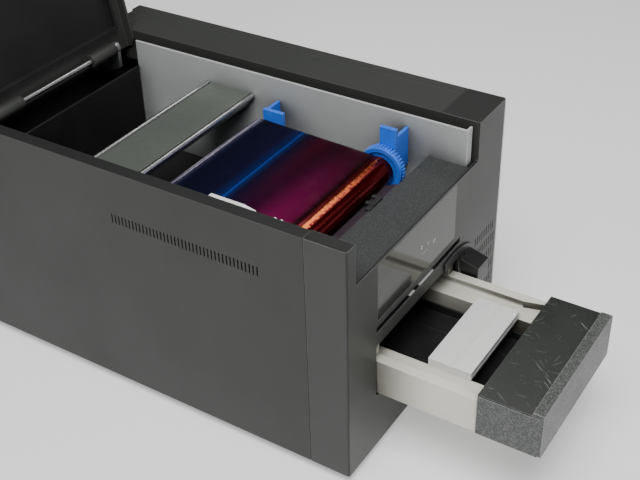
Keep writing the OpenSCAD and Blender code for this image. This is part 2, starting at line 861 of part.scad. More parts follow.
module hinge_brackets() {
    color(steel) place() for (x = ear_x) {
        along_x(x, x + ear_t) difference() {
            union() {
                translate([hinge_y, hinge_z]) circle(r = knuckle_r);
                polygon([[hinge_y - 5, hinge_z - 2], [hinge_y + 5, hinge_z - 2], [hinge_y + 5, hinge_z - 14],
                    [rear_y - sheet_t, hinge_z - 24], [rear_y - sheet_t, hinge_z - 36],
                    [hinge_y - 5, hinge_z - 20]]);
            }
            translate([hinge_y, hinge_z]) circle(r = pin_r + run_fit);
        }
        block([x - 6, x + ear_t + 6], [rear_y - sheet_t, rear_y], [hinge_z - 36, hinge_z - 22]);
    }
}

module hinge_rod() {
    color(steel) place() bar_x(pin_r, ear_x[0] - 3, ear_x[1] + ear_t + 3, hinge_y, hinge_z);
}

knuckle_x = [ear_x[0] + ear_t + 0.5, ear_x[1] - 0.5 - knuckle_w];

// Crowned flat shell with a deep front skirt that fills the notch
module lid_shell() {
    front_skirt = notch_drop - seam;
    color(case_grey) swing() difference() {
        union() {
            block([lid_x0, lid_x1], [0, lid_back], [-lid_t, 0]);
            block([lid_x0, lid_x1], [0, lid_t], [-front_skirt, -lid_t]);
            for (x = [lid_x0, lid_x1 - lid_t]) along_x(x, x + lid_t)
                polygon([[lid_t, -lid_t], [lid_back, -lid_t], [lid_back, -lid_skirt * 0.6],
                    [lid_back - 8, -lid_skirt], [24, -lid_skirt], [lid_t, -front_skirt]]);
            for (x = knuckle_x) along_x(x, x + knuckle_w) {
                translate([hinge_y, hinge_z]) circle(r = knuckle_r);
                translate([hinge_y - knuckle_r, hinge_z]) square([2 * knuckle_r, -hinge_z - lid_t]);
            }
            // Ribs under the top
            for (x = [lid_x0 + 30, (lid_x0 + lid_x1) / 2, lid_x1 - 30])
                block([x, x + 2], [lid_t, 40], [-10, -lid_t]);
        }
        for (x = knuckle_x) bar_x(pin_r + run_fit, x - cut, x + knuckle_w + cut, hinge_y, hinge_z);
        // Finger grip in the lower edge of the skirt
        translate([(lid_x0 + lid_x1) / 2, -cut, -front_skirt]) rotate([-90, 0, 0])
            linear_extrude(lid_t + 2 * cut) translate([-32, -5]) round_rect(64, 10, 4.9);
    }
}

module lid_liner() {
    x0 = lid_x0 + lid_t + 6;
    x1 = right_wall_x - 3;
    y0 = 46;
    y1 = hinge_y - 16;
    z1 = -lid_t;
    color(black) swing() {
        block([x0, x1], [y0, y1], [z1 - liner_t, z1]);
        for (y = [y0, (y0 + y1) / 2 + 60, y1 - 3]) block([x0, x1], [y, y + 3], [z1 - 7, z1 - liner_t]);
        for (x = [x0, x1 - 3]) block([x, x + 3], [y0, y1], [z1 - 7, z1 - liner_t]);
    }
}

head_x0 = film_x0 + 12;
head_x1 = film_x1 - 6;
head_z0 = platen_top + film_gap + film_t + 0.5;
head_plate_z = -lid_t - liner_t;
head_stud_z = 17;
spring_x = [head_x0 + 22, head_x1 - 22];
spring_seat_z = head_z0 + 27;
spring_l = head_plate_z - 1.6 - spring_seat_z;

// Folded sheet that hangs the head from the liner
module head_bracket() {
    y0 = platen_y - 20;
    y1 = platen_y + 24;
    color(steel) swing() {
        block([head_x0 - 4, head_x1 + 4], [y0, y1], [head_plate_z - 1.6, head_plate_z]);
        for (x = [head_x0 - 4, head_x1 + 2.4]) along_x(x, x + 1.6) difference() {
            polygon([[y0, head_plate_z - 1.6], [y1, head_plate_z - 1.6], [platen_y + 8, head_z0 + 11],
                [platen_y - 8, head_z0 + 11]]);
            translate([platen_y, head_z0 + head_stud_z]) circle(r = 2.5 + run_fit);
        }
    }
}

// Finned heat sink over the ceramic strip that presses on the film
module print_head() {
    z0 = head_z0;
    fin_count = 7;
    fin_pitch = 4.4;
    color(steel) swing() {
        bar_x(2.5, head_x0 - 4.6, head_x1 + 4.6, platen_y, z0 + head_stud_z);
        for (x = spring_x) translate([x, platen_y, z0 + 12]) cylinder(r = 7, h = spring_seat_z - z0 - 12);
        along_x(head_x0, head_x1) polygon([[platen_y - 3, z0], [platen_y + 3, z0], [platen_y + 14, z0 + 7],
            [platen_y + 14, z0 + 13], [platen_y - 14, z0 + 13], [platen_y - 14, z0 + 8]]);
        for (i = [0:fin_count - 1]) block([head_x0, head_x1],
            [platen_y - 14 + i * fin_pitch, platen_y - 12.4 + i * fin_pitch], [z0 + 13, z0 + 25]);
    }
}

// A wire of radius w wound into turns of radius r, from z = w to z = h - w
module coil_spring(r, w, h, turns) {
    steps = 14 * turns;
    sides = 6;
    points = [for (i = [0:steps], k = [0:sides - 1])
        let (a = i * 360 / 14, b = k * 360 / sides, q = r + w * cos(b))
        [q * cos(a), q * sin(a), w + (h - 2 * w) * i / steps + w * sin(b)]];
    faces = concat([[for (k = [0:sides - 1]) k]],
        [for (i = [0:steps - 1], k = [0:sides - 1]) let (n = (k + 1) % sides)
            [i * sides + k, (i + 1) * sides + k, (i + 1) * sides + n, i * sides + n]],
        [[for (k = [sides - 1:-1:0]) steps * sides + k]]);
    polyhedron(points, faces);
}

module head_springs() {
    color(steel) swing() for (x = spring_x) translate([x, platen_y, spring_seat_z])
        coil_spring(4.6, 0.7, spring_l, 5);
}

// ---- Drawer ----

// Pocket walls with a filleted step down to the shelf, higher towards the back
module drawer_tray() {
    fillet = 4;
    inner_x = tray_x0 + tray_wall;
    chamfer = 18;
    color(cream) place() difference() {
        union() {
            block([tray_x0, tray_x1], [tray_front, tray_back], [tray_z0, low_wall_z]);
            block([tray_x0, tray_x1], [4, tray_back], [low_wall_z, high_wall_z]);
        }
        // Pocket for the cards
        block([pocket_x0, pocket_x1], [pocket_y0, pocket_y1], [pocket_z, high_wall_z + cut]);
        // Space over the shelf, as wide as the walls allow
        block([inner_x + fillet, tray_x1 - tray_wall - fillet], [pocket_y0, tray_back + cut],
            [shelf_z, high_wall_z + cut]);
        for (side = [0, 1]) translate([side * (tray_x0 + tray_x1), 0, 0]) mirror([side, 0, 0]) {
            along_y(pocket_y0, tray_back + cut) difference() {
                translate([inner_x, shelf_z]) square([fillet + cut, high_wall_z - shelf_z + cut]);
                difference() {
                    translate([inner_x - cut, shelf_z - cut]) square([fillet + cut, fillet + cut]);
                    translate([inner_x + fillet, shelf_z + fillet]) circle(fillet);
                }
            }
            // Chamfer where the wall meets the front
            translate([0, 0, shelf_z]) linear_extrude(high_wall_z - shelf_z + cut)
                polygon([[inner_x - 4.4, pocket_y0], [inner_x + cut, pocket_y0],
                    [inner_x + cut, pocket_y0 + chamfer], [inner_x, pocket_y0 + chamfer]]);
        }
    }
}

// Black insert in the pocket: floor with two raised ridges and a low wall all round
module pocket_floor() {
    t = 1.4;
    wall_z1 = shelf_z - 14.6;
    x = [pocket_x0 + fit, pocket_x1 - fit];
    y = [pocket_y0 + fit, pocket_y1 - fit];
    color(black) place() {
        difference() {
            block(x, y, [pocket_z, wall_z1]);
            block([x[0] + t, x[1] - t], [y[0] + t, y[1] - t], [pocket_z + 2, wall_z1 + cut]);
        }
        for (rx = [pocket_x0 + 18, pocket_x1 - 26]) block([rx, rx + 8], [y[0] + t, y[1] - t],
            [pocket_z + 2, pocket_z + 3.2]);
    }
}

// Moulded front: side cheeks, fascia with a raised lip, open below as a grip
module drawer_front() {
    fascia_z1 = rest_z + 2.2;
    fascia_z0 = tray_z0;
    side_t = 2.6;
    color([0.2, 0.205, 0.2]) place() difference() {
        union() {
            block([tray_x0 - front_lap, tray_x1 + front_lap], [rest_y0 + 3, tray_front],
                [fascia_z0, rest_z - 2]);
            translate([tray_x0 - front_lap, 0, 0]) along_y(rest_y0, rest_y0 + 10)
                translate([0, fascia_z0]) round_rect(drawer_w + 2 * front_lap, fascia_z1 - fascia_z0, 2);
        }
        block([tray_x0 - front_lap + side_t, tray_x1 + front_lap - side_t],
            [rest_y0 + 10, tray_front - side_t], [fascia_z0 - cut, rest_z + cut]);
        block([tray_x0 + side_t, tray_x1 - side_t], [rest_y0 + 4, rest_y0 + 11],
            [fascia_z0 - cut, fascia_z1 - 14]);
    }
}

module rest_plate() {
    x0 = tray_x0 - front_lap;
    x1 = tray_x1 + front_lap;
    color([0.2, 0.22, 0.21]) place() {
        block([x0, x1], [rest_y0 + 10, tray_front], [rest_z - 2, rest_z]);
        block([x0 + 3, x1 - 3], [rest_y0 + 12, tray_front - 4], [rest_z - 5, rest_z - 2]);
    }
}

// Loose grooved bar that presses on the cards and rests on the shelf
module card_weight() {
    x0 = pocket_x0 - 1;
    x1 = pocket_x1 + 1;
    y0 = tray_front + 18;
    y1 = y0 + 40;
    h = 8;
    z0 = shelf_z + 0.05;
    color([0.8, 0.81, 0.8]) place() {
        along_x(x0, x1) difference() {
            translate([y0, z0]) square([y1 - y0, h]);
            for (y = [y0 + 16, y0 + 19.4]) translate([y, z0 + h - 0.8]) square([1, 2]);
            translate([y0 - cut, z0 + 3]) square([cut + 1, 1.2]);
        }
        translate([x1 - 4, y0 + 3, z0 + h]) cylinder(r1 = 2.2, r2 = 1.4, h = 1.6);
    }
}

// Lever beside the drawer: press it to let the drawer go
module release_lever() {
    x0 = lever_x0;
    x1 = lever_x0 + lever_w;
    z1 = drawer_z1 - 3.6;
    wing_r = 70;
    wing_l = 31;
    wing_h = 10.6;
    color(black) place() {
        along_x(x0, x1) polygon([[-0.6, z1], [-20, z1 - 5.6], [-20, z1 - 26], [-17, z1 - 30],
            [-6.5, z1 - 30], [-2, z1 - 12]]);
        // Thin curved wing that reaches over the bar below the output slot
        along_y(-1.8, -0.6) intersection() {
            union() {
                translate([x0 - wing_l, drawer_z1]) square([wing_l + lever_w, wing_h]);
                translate([x0, z1 - 3]) square([lever_w, 8]);
            }
            translate([x0 - wing_l * 0.42, drawer_z1 + wing_h - wing_r]) circle(wing_r, $fn = 96);
        }
        block([x0 + 7.5, x0 + 12.5], [-3, lever_pivot_y + 4], [lever_z - 6, lever_z + 6]);
        bar_x(3, x0 + 4, x0 + 16, lever_pivot_y, lever_z);
    }
}

// ---- Rear and electronics ----

module power_inlet() {
    w = inlet_size[0];
    h = inlet_size[1];
    color(black) place() translate([inlet_x - w / 2, 0, inlet_z - h / 2]) difference() {
        union() {
            block([fit, w - fit], [rear_y - 24, rear_y + sheet_t], [fit, h - fit]);
            along_y(rear_y + sheet_t, rear_y + sheet_t + 1.6) translate([-2, -2])
                round_rect(w + 4, h + 4, 2);
        }
        // Socket with chamfered upper corners and its contact island
        along_y(rear_y - 15, rear_y + sheet_t + 3) difference() {
            polygon([[3, 5], [24, 5], [24, 17], [19, 22], [8, 22], [3, 17]]);
            translate([6, 8]) square([15, 9]);
        }
        along_y(rear_y - 8, rear_y + sheet_t + 3) translate([28, 3]) square([17, 21]);
        bar_x(1.2 + run_fit, 26.8, 46.2, rocker_y, h / 2);
    }
}

// Rocker beside the inlet socket, on two trunnions
module power_switch() {
    x0 = inlet_x - inlet_size[0] / 2 + 28.6;
    color([0.12, 0.12, 0.12]) place() {
        along_x(x0, x0 + 15.8) translate([rocker_y, inlet_z])
            polygon([[1, -9], [4.1, -9], [2.9, 0], [5.1, 9], [2, 9], [-2.5, 3], [-2.5, -3]]);
        bar_x(1.2, x0 - 1.4, x0 + 17.2, rocker_y, inlet_z);
    }
}

module port_block() {
    w = port_size[0];
    h = port_size[1];
    color(black) place() translate([port_x - w / 2, 0, inlet_z - h / 2]) difference() {
        union() {
            block([fit, w - fit], [rear_y - 18, rear_y + sheet_t + 0.6], [fit, h - fit]);
        }
        along_y(rear_y - 12, rear_y + sheet_t + 2) {
            difference() {
                polygon([[4, 4], [16, 4], [16, 13], [14, 15], [6, 15], [4, 13]]);
                translate([7.5, 6.5]) square([5, 6]);
            }
            translate([28, 3.5]) square([16, 13.5]);
            translate([33, 17]) square([6, 2]);
        }
    }
}

motor_size = 40;
motor_l = 26;
motor_shaft_r = 2.5;
motor_y = 172;
motor_z = bay_floor_z + sheet_t + fit + motor_size / 2;

// Flat stepper motor on the inner face of the right wall; its shaft turns the belt
module drive_motor() {
    x0 = right_wall_x - motor_l;
    half = motor_size / 2;
    color([0.2, 0.2, 0.21]) place() difference() {
        block([x0, right_wall_x], [motor_y - half, motor_y + half], [motor_z - half, motor_z + half]);
        for (sy = [-1, 1], sz = [-1, 1]) translate([x0 - cut, motor_y + sy * half, motor_z + sz * half])
            rotate([45, 0, 0]) translate([0, -3.5, -3.5]) cube([motor_l + 2 * cut, 7, 7]);
    }
    color(steel) place() bar_x(motor_shaft_r, right_wall_x, belt_x + belt_w + 1, motor_y, motor_z);
}

module motor_pulley() {
    color(steel) place() pulley(motor_y, motor_z, motor_shaft_r);
}

module power_supply() {
    color([0.6, 0.61, 0.62]) place() difference() {
        block([right_wall_x + sheet_t + 4, body_w - 12], [body_d * 0.4 - 4, body_d * 0.6 + 8],
            [floor_z + psu_z, floor_z + psu_z + 44]);
        for (i = [0:11]) block([right_wall_x, right_wall_x + sheet_t + 6],
            [body_d * 0.4 + 4 + i * 7, body_d * 0.4 + 7 + i * 7], [floor_z + psu_z + 8, floor_z + psu_z + 34]);
    }
}

module control_board() {
    x1 = body_w - 8;
    t = 1.6;
    color([0.05, 0.25, 0.12]) place() block([x1 - t, x1], [70, 250], [floor_z + 30, floor_z + 150]);
    color([0.1, 0.1, 0.1]) place() for (p = [[96, 60], [140, 96], [190, 70]])
        block([x1 - t - 4, x1 - t], [p[0], p[0] + 26], [floor_z + p[1], floor_z + p[1] + 22]);
    color(steel) place() for (y = [76, 244], z = [36, 144])
        bar_x(2.4, x1, body_w - sheet_t, y, floor_z + z);
}

fan_t = 15;
fan_y = rear_y - fan_t;

module fan_frame() {
    color(black) place() translate([fan_x, fan_y + fan_t, fan_z]) rotate([90, 0, 0]) {
        linear_extrude(fan_t) difference() {
            translate([-fan_size / 2, -fan_size / 2]) round_rect(fan_size, fan_size, 4);
            circle(r = fan_size / 2 - 2);
            for (x = [-1, 1], z = [-1, 1]) translate([x * 25, z * 25]) circle(r = 2.1);
        }
        // Three spokes that hold the hub plate on the inner side
        translate([0, 0, fan_t - 2]) linear_extrude(2) difference() {
            union() {
                circle(r = 11);
                for (a = [30, 150, 270]) rotate(a) translate([0, -1.5]) square([fan_size / 2 - 1, 3]);
            }
            circle(r = 2 + run_fit);
        }
    }
}

module fan_rotor() {
    blades = 7;
    color([0.13, 0.13, 0.13]) place() translate([fan_x, fan_y + fan_t - 1, fan_z]) rotate([90, 0, 0]) {
        cylinder(r = 11, h = fan_t - 3.6);
        cylinder(r = 2, h = fan_t);
        for (k = [0:blades - 1]) rotate([0, 0, k * 360 / blades]) translate([9, 0, 5.5])
            rotate([38, 0, 0]) translate([0, -5, -0.8]) cube([fan_size / 2 - 13, 10, 1.6]);
    }
}

base_pan();
rubber_feet();
left_side_panel();
right_side_panel();
rear_panel();
rear_crossbar();
right_top_cover();
front_cap();
display_panel();
front_ledge();
spool_apron();
ribbon_sensor();
inner_left_frame();
inner_right_wall();
lid_strike();
bay_floor();
card_guides();
guide_rods();
transfer_cover();
left_spool_supports();
ribbon_guide_rail();
right_spool_supports();
ribbon_web();
take_up_core();
take_up_film();
take_up_flange();
supply_core();
supply_film();
spool_pinion();
platen_roller();
feed_roller();
exit_roller();
drive_belt();
pick_roller();
drawer_runners();
hinge_brackets();
hinge_rod();
lid_shell();
lid_liner();
head_bracket();
print_head();
head_springs();
drawer_tray();
pocket_floor();
drawer_front();
rest_plate();
card_weight();
release_lever();
power_switch();
power_inlet();
port_block();
drive_motor();
motor_pulley();
power_supply();
control_board();
fan_frame();
fan_rotor();
rear_screws();
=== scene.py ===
import bpy, bmesh, math
from mathutils import Vector, Matrix, noise


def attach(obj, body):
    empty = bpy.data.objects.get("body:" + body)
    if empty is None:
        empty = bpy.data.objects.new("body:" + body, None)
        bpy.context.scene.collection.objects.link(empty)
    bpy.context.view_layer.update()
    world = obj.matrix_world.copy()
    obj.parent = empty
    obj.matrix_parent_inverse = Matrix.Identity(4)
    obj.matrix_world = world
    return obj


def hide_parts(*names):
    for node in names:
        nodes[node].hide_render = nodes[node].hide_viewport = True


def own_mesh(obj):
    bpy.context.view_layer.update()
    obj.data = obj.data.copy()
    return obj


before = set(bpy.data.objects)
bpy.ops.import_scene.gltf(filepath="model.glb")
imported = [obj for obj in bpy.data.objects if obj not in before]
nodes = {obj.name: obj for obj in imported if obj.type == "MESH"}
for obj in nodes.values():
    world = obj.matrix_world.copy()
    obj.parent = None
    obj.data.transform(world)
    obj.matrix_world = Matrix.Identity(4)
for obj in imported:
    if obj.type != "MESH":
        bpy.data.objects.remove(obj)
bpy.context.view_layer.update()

# Lengths are typed in casing millimetres: x from the left, y from the front face, z from the rims.
# Only the camera, the studio and the finishes are in metres.
casing = {"width": 280, "depth": 430, "top": 244}


def mm(value):
    return value / 1000


def spot(x, y, z):
    return Vector((mm(x - casing["width"] / 2), mm(y - casing["depth"] / 2), mm(z + casing["top"])))


# Helpers for shader nodes. A key of addNode is a setting of the node or the name of a socket.

def addNode(tree, kind, **values):
    node = tree.nodes.new(kind)
    for key, value in values.items():
        if hasattr(node, key):
            setattr(node, key, value)
        else:
            node.inputs[key].default_value = value
    return node


def noiseField(tree, source, size, detail, stretch=(1, 1, 1)):
    scale = addNode(tree, "ShaderNodeMapping", Scale=[s / size for s in stretch])
    tree.links.new(source, scale.inputs["Vector"])
    field = addNode(tree, "ShaderNodeTexNoise", Scale=1.0, Detail=detail, Roughness=0.55)
    tree.links.new(scale.outputs["Vector"], field.inputs["Vector"])
    return field.outputs["Fac"]


def remap(tree, source, fromLow, fromHigh, toLow, toHigh):
    ends = {"From Min": fromLow, "From Max": fromHigh, "To Min": toLow, "To Max": toHigh}
    node = addNode(tree, "ShaderNodeMapRange", **ends)
    tree.links.new(source, node.inputs["Value"])
    return node.outputs["Result"]


def reckon(tree, operation, first, second):
    node = addNode(tree, "ShaderNodeMath", operation=operation)
    for socket, value in zip(node.inputs, (first, second)):
        if isinstance(value, (int, float)):
            socket.default_value = value
        else:
            tree.links.new(value, socket)
    return node.outputs[0]


# The A and B sockets of a colour mix share names with other types, so they are taken by position
def colourMix(tree, factor, first, second):
    node = addNode(tree, "ShaderNodeMix", data_type="RGBA")
    tree.links.new(factor, node.inputs[0])
    for index, value in ((6, first), (7, second)):
        if isinstance(value, (tuple, list)):
            node.inputs[index].default_value = (*value, 1)
        else:
            tree.links.new(value, node.inputs[index])
    return node.outputs[2]


def colourRamp(tree, source, stops):
    node = addNode(tree, "ShaderNodeValToRGB")
    ramp = node.color_ramp
    while len(ramp.elements) < len(stops):
        ramp.elements.new(0.5)
    for stop, (place, colour) in zip(ramp.elements, stops):
        stop.position = place
        stop.color = (*colour, 1)
    tree.links.new(source, node.inputs["Fac"])
    return node.outputs["Color"]


# How far a surface faces up, from the normal of a coordinate or geometry node
def facingUp(tree, kind):
    split = addNode(tree, "ShaderNodeSeparateXYZ")
    tree.links.new(addNode(tree, kind).outputs["Normal"], split.inputs["Vector"])
    return split.outputs["Z"]


def addBump(tree, shader, height, strength, depth, over=None):
    bump = addNode(tree, "ShaderNodeBump", Strength=strength, Distance=depth)
    tree.links.new(height, bump.inputs["Height"])
    if over is not None:
        tree.links.new(over, bump.inputs["Normal"])
    tree.links.new(bump.outputs["Normal"], shader.inputs["Normal"])


def startPaint(name):
    mat = bpy.data.materials.new(name)
    mat.use_nodes = True
    return mat, mat.node_tree.nodes["Principled BSDF"]


# Camera, light and floor

camera = {
    "place": (-0.71848, -0.57228, 0.73204),
    "azimuth": 56.6927,
    "down": 34.9583,
    "roll": -1.7202,
    "lens": 63.87,
    "sensor": 36,
    "nearest": 0.01,
}


def aimCamera():
    az, el, roll = (math.radians(camera[k]) for k in ("azimuth", "down", "roll"))
    ahead = Vector((math.sin(az) * math.cos(el), math.cos(az) * math.cos(el), -math.sin(el)))
    level = ahead.cross(Vector((0, 0, 1))).normalized()
    up = level.cross(ahead)
    levelRolled = math.cos(roll) * level + math.sin(roll) * up
    upRolled = -math.sin(roll) * level + math.cos(roll) * up
    lens = bpy.data.cameras.new("photoCamera")
    lens.lens = camera["lens"]
    lens.sensor_width = camera["sensor"]
    lens.clip_start = camera["nearest"]
    eye = bpy.data.objects.new("photoCamera", lens)
    turn = Matrix((levelRolled, upRolled, -ahead)).transposed()
    eye.matrix_world = Matrix.Translation(Vector(camera["place"])) @ turn.to_4x4()
    bpy.context.scene.collection.objects.link(eye)
    bpy.context.scene.camera = eye


studio = {
    # height of the direction, brightness
    "skyHeights": [(0.0, 0.75), (0.11, 0.72), (0.21, 0.06), (0.85, 0.03), (1.0, 0.5)],
    "skyTint": (0.97, 0.985, 1.0),
    "floorColour": (0.66, 0.66, 0.66), "floorGlow": 0.42, "floorRoughness": 0.8,
    "floorReach": 40, "floorDrop": 0.0004,
    # name, outline, place, target, width, height, power, colour
    "panels": [
        ("keyPanel", "RECTANGLE", (0.60, -0.85, 0.95), (0.02, -0.25, 0.12),
         0.5, 0.5, 0.6, (1.0, 0.99, 0.97)),
        ("frontPanel", "RECTANGLE", (-0.3, -2.2, 0.45), (-0.02, -0.25, 0.12),
         1.0, 0.6, 6, (1.0, 1.0, 0.98)),
        ("stripPanel", "ELLIPSE", (0.76, 0.05, 1.06), (0.76, 0.05, 0.0),
         0.40, 0.72, 1.7, (1.0, 0.97, 0.93)),
        ("leftPanel", "RECTANGLE", (-1.9, 0.2, 0.7), (-0.1, 0.0, 0.12),
         1.2, 0.9, 2, (0.97, 0.985, 1.0)),
        ("topPanel", "RECTANGLE", (-0.7, -0.42, 1.8), (-0.05, -0.08, 0.05),
         1.2, 1.2, 52, (1.0, 1.0, 1.0)),
    ],
}


def hangSky():
    world = bpy.data.worlds.new("studioWorld")
    world.use_nodes = True
    sky = world.node_tree
    split = addNode(sky, "ShaderNodeSeparateXYZ")
    sky.links.new(addNode(sky, "ShaderNodeTexCoord").outputs["Generated"], split.inputs["Vector"])
    stops = [(height, [bright * c for c in studio["skyTint"]])
             for height, bright in studio["skyHeights"]]
    shade = colourRamp(sky, split.outputs["Z"], stops)
    sky.links.new(shade, sky.nodes["Background"].inputs["Color"])
    bpy.context.scene.world = world


def hangPanels():
    for name, outline, place, target, width, height, power, colour in studio["panels"]:
        lamp = bpy.data.lights.new(name, "AREA")
        lamp.shape = outline
        lamp.size = width
        lamp.size_y = height
        lamp.energy = power
        lamp.color = colour
        panel = bpy.data.objects.new(name, lamp)
        panel.location = place
        aim = Vector(target) - Vector(place)
        panel.rotation_euler = aim.to_track_quat("-Z", "Y").to_euler()
        bpy.context.scene.collection.objects.link(panel)


def layFloor():
    reach = studio["floorReach"]
    corners = [(-reach, -reach, 0), (reach, -reach, 0), (reach, reach, 0), (-reach, reach, 0)]
    sheet = bpy.data.meshes.new("floorSheet")
    sheet.from_pydata(corners, [], [(0, 1, 2, 3)])
    floor = bpy.data.objects.new("floorSheet", sheet)
    floor.location.z = -studio["floorDrop"]
    bpy.context.scene.collection.objects.link(floor)
    paint, shader = startPaint("floorPaint")
    shader.inputs["Base Color"].default_value = (*studio["floorColour"], 1)
    shader.inputs["Roughness"].default_value = studio["floorRoughness"]
    shader.inputs["Emission Color"].default_value = (1, 1, 1, 1)
    shader.inputs["Emission Strength"].default_value = studio["floorGlow"]
    sheet.materials.append(paint)


aimCamera()
hangSky()
hangPanels()
layFloor()
print("camera and light are in place")


# A finish is a colour pair that drifts slowly, a fine grain of flecks, an edge colour that stands
# for wear and is partly a painted highlight (on the ledge a painted shadow line), and a roughness
# range. These values hold where its own dictionary gives no other.
plainLook = {
    "driftSize": 0.05, "driftDetail": 4, "driftBand": (0.3, 0.7),
    "grainSize": 0.0008, "grainDetail": 2, "stretch": (1, 1, 1),
    "fleckFrom": 0.35, "fleckTo": 0.75, "fleckAmount": 0.25, "fleckGain": 1.5, "fleckLift": 0.01,
    "rimBand": (0.9, 0.99),
    "edgeWidth": 0.0007, "edgeAmount": 0.5, "edgeBand": (0.995, 0.85), "edgeSamples": 4,
    "scratches": (), "scratchBand": 0.03, "scratchDetail": 2, "scratchStretch": (0.05, 1, 1),
    "cornerTo": 0.4, "cornerSamples": 6, "flatBand": (0.2, 0.9),
    "bump": 0.15, "bumpDepth": 0.0002,
}


# Painted edge light: where the rounded normal parts from the true one, the edge colour is mixed in,
# as wear and as a painted highlight along the edge (a painted shadow line on the ledge)
def paintEdgeWearAndLight(tree, base, rounded, look):
    dot = addNode(tree, "ShaderNodeVectorMath", operation="DOT_PRODUCT")
    tree.links.new(rounded, dot.inputs[0])
    tree.links.new(addNode(tree, "ShaderNodeNewGeometry").outputs["Normal"], dot.inputs[1])
    edgeWearAndLight = remap(tree, dot.outputs["Value"], *look["edgeBand"], 0, look["edgeAmount"])
    return colourMix(tree, edgeWearAndLight, base, look["edge"])


def addScratch(tree, base, place, look, lean, size, cutoff):
    turned = addNode(tree, "ShaderNodeMapping", Rotation=(0, 0, math.radians(lean)))
    tree.links.new(place, turned.inputs["Vector"])
    line = noiseField(tree, turned.outputs["Vector"], size, look["scratchDetail"],
                      look["scratchStretch"])
    mark = remap(tree, line, cutoff, cutoff + look["scratchBand"], 0, look["scratchAmount"])
    return colourMix(tree, mark, base, look["scratch"])


def shadeCorners(tree, base, look):
    hollow = addNode(tree, "ShaderNodeAmbientOcclusion", samples=look["cornerSamples"],
                     Distance=look["cornerReach"])
    shade = remap(tree, hollow.outputs["AO"], look["cornerFrom"], look["cornerTo"],
                  0, look["cornerAmount"])
    if "cornerOnFlat" in look:  # walls hold more shade than flat tops
        share = remap(tree, facingUp(tree, "ShaderNodeNewGeometry"), *look["flatBand"],
                      1, look["cornerOnFlat"])
        shade = reckon(tree, "MULTIPLY", shade, share)
    return colourMix(tree, shade, base, look["corner"])


def makeFinish(name, ownLook):
    look = {**plainLook, **ownLook}
    mat, shader = startPaint(name)
    tree = mat.node_tree
    place = addNode(tree, "ShaderNodeTexCoord").outputs["Object"]
    drift = noiseField(tree, place, look["driftSize"], look["driftDetail"])
    grain = noiseField(tree, place, look["grainSize"], look["grainDetail"], look["stretch"])
    drifted = remap(tree, drift, *look["driftBand"], 0, 1)
    base = colourMix(tree, drifted, look["colour"], look["drift"])
    fleck = remap(tree, grain, look["fleckFrom"], look["fleckTo"], 0, look["fleckAmount"])
    paler = [c * look["fleckGain"] + look["fleckLift"] for c in look["colour"]]
    base = colourMix(tree, fleck, base, look.get("fleck", paler))
    if "rim" in look:  # painted shade: faces that point up get the darker rim colour, for the dim light on the rim tops
        top = remap(tree, facingUp(tree, "ShaderNodeTexCoord"), *look["rimBand"],
                    0, look["rimAmount"])
        base = colourMix(tree, top, base, look["rim"])
    rounded = None
    if "edge" in look:
        soft = addNode(tree, "ShaderNodeBevel", samples=look["edgeSamples"],
                       Radius=look["edgeWidth"])
        rounded = soft.outputs["Normal"]
        base = paintEdgeWearAndLight(tree, base, rounded, look)
    for lean, size, cutoff in look["scratches"]:
        base = addScratch(tree, base, place, look, lean, size, cutoff)
    if "corner" in look:
        base = shadeCorners(tree, base, look)
    tree.links.new(base, shader.inputs["Base Color"])
    shine = remap(tree, drift, *look["driftBand"], *look["roughness"])
    tree.links.new(shine, shader.inputs["Roughness"])
    height = grain
    if "pebble" in look:
        cells = addNode(tree, "ShaderNodeTexVoronoi", Scale=1 / look["pebble"], feature="SMOOTH_F1")
        tree.links.new(place, cells.inputs["Vector"])
        height = cells.outputs["Distance"]
    addBump(tree, shader, height, look["bump"], look["bumpDepth"], rounded)
    for key, socket in (("metallic", "Metallic"), ("coat", "Coat Weight"),
                        ("specular", "Specular IOR Level")):
        if key in look:
            shader.inputs[socket].default_value = look[key]
    mat.diffuse_color = (*look["colour"], 1)
    return mat


# Finishes of the nodes that stay as they are

# In each finish, edge is the colour of its painted edge highlight and wear
casePaint = {
    "colour": (0.031, 0.033, 0.030), "drift": (0.028, 0.030, 0.027), "driftSize": 0.09,
    "fleck": (0.055, 0.057, 0.053), "fleckAmount": 0.25, "grainSize": 0.0006,
    "roughness": (0.46, 0.54), "specular": 0.34, "bump": 0.22,
    "edge": (0.13, 0.135, 0.125), "edgeAmount": 0.55, "edgeWidth": 0.0006,
}
# Painted shade: the case paint with darker rim tops and a brighter painted edge highlight
wallPaint = {
    **casePaint, "rim": (0.010, 0.011, 0.0105), "rimAmount": 0.75, "edge": (0.17, 0.175, 0.165),
}
# the front cap keeps the painted rim shade of the case paint
frontPaint = {
    **wallPaint, "colour": (0.033, 0.035, 0.032), "drift": (0.030, 0.032, 0.029),
    "roughness": (0.42, 0.48), "specular": 0.38, "bump": 0.12,
    # the bright edge colour is a painted highlight along the cap's edges
    "edge": (0.34, 0.35, 0.34), "edgeAmount": 0.75, "edgeWidth": 0.0005,
}
deckGrain = {
    "colour": (0.028, 0.030, 0.030), "drift": (0.024, 0.026, 0.026),
    "fleck": (0.085, 0.09, 0.086), "fleckFrom": 0.47, "fleckTo": 0.67, "fleckAmount": 0.7,
    "grainSize": 0.0012, "grainDetail": 5, "pebble": 0.0011, "bumpDepth": 0.0003, "bump": 0.45,
    # the dark edge colour is painted shade: the shadow in the gap between the ledge and the front
    # face
    "roughness": (0.5, 0.6), "specular": 0.3, "edge": (0.02, 0.02, 0.02), "edgeAmount": 0.5,
}
overlayGloss = {
    "colour": (0.036, 0.037, 0.034), "drift": (0.033, 0.034, 0.031), "driftSize": 0.12,
    "fleckAmount": 0.03, "grainSize": 0.004, "bump": 0.01,
    "roughness": (0.07, 0.1), "specular": 0.4,
}
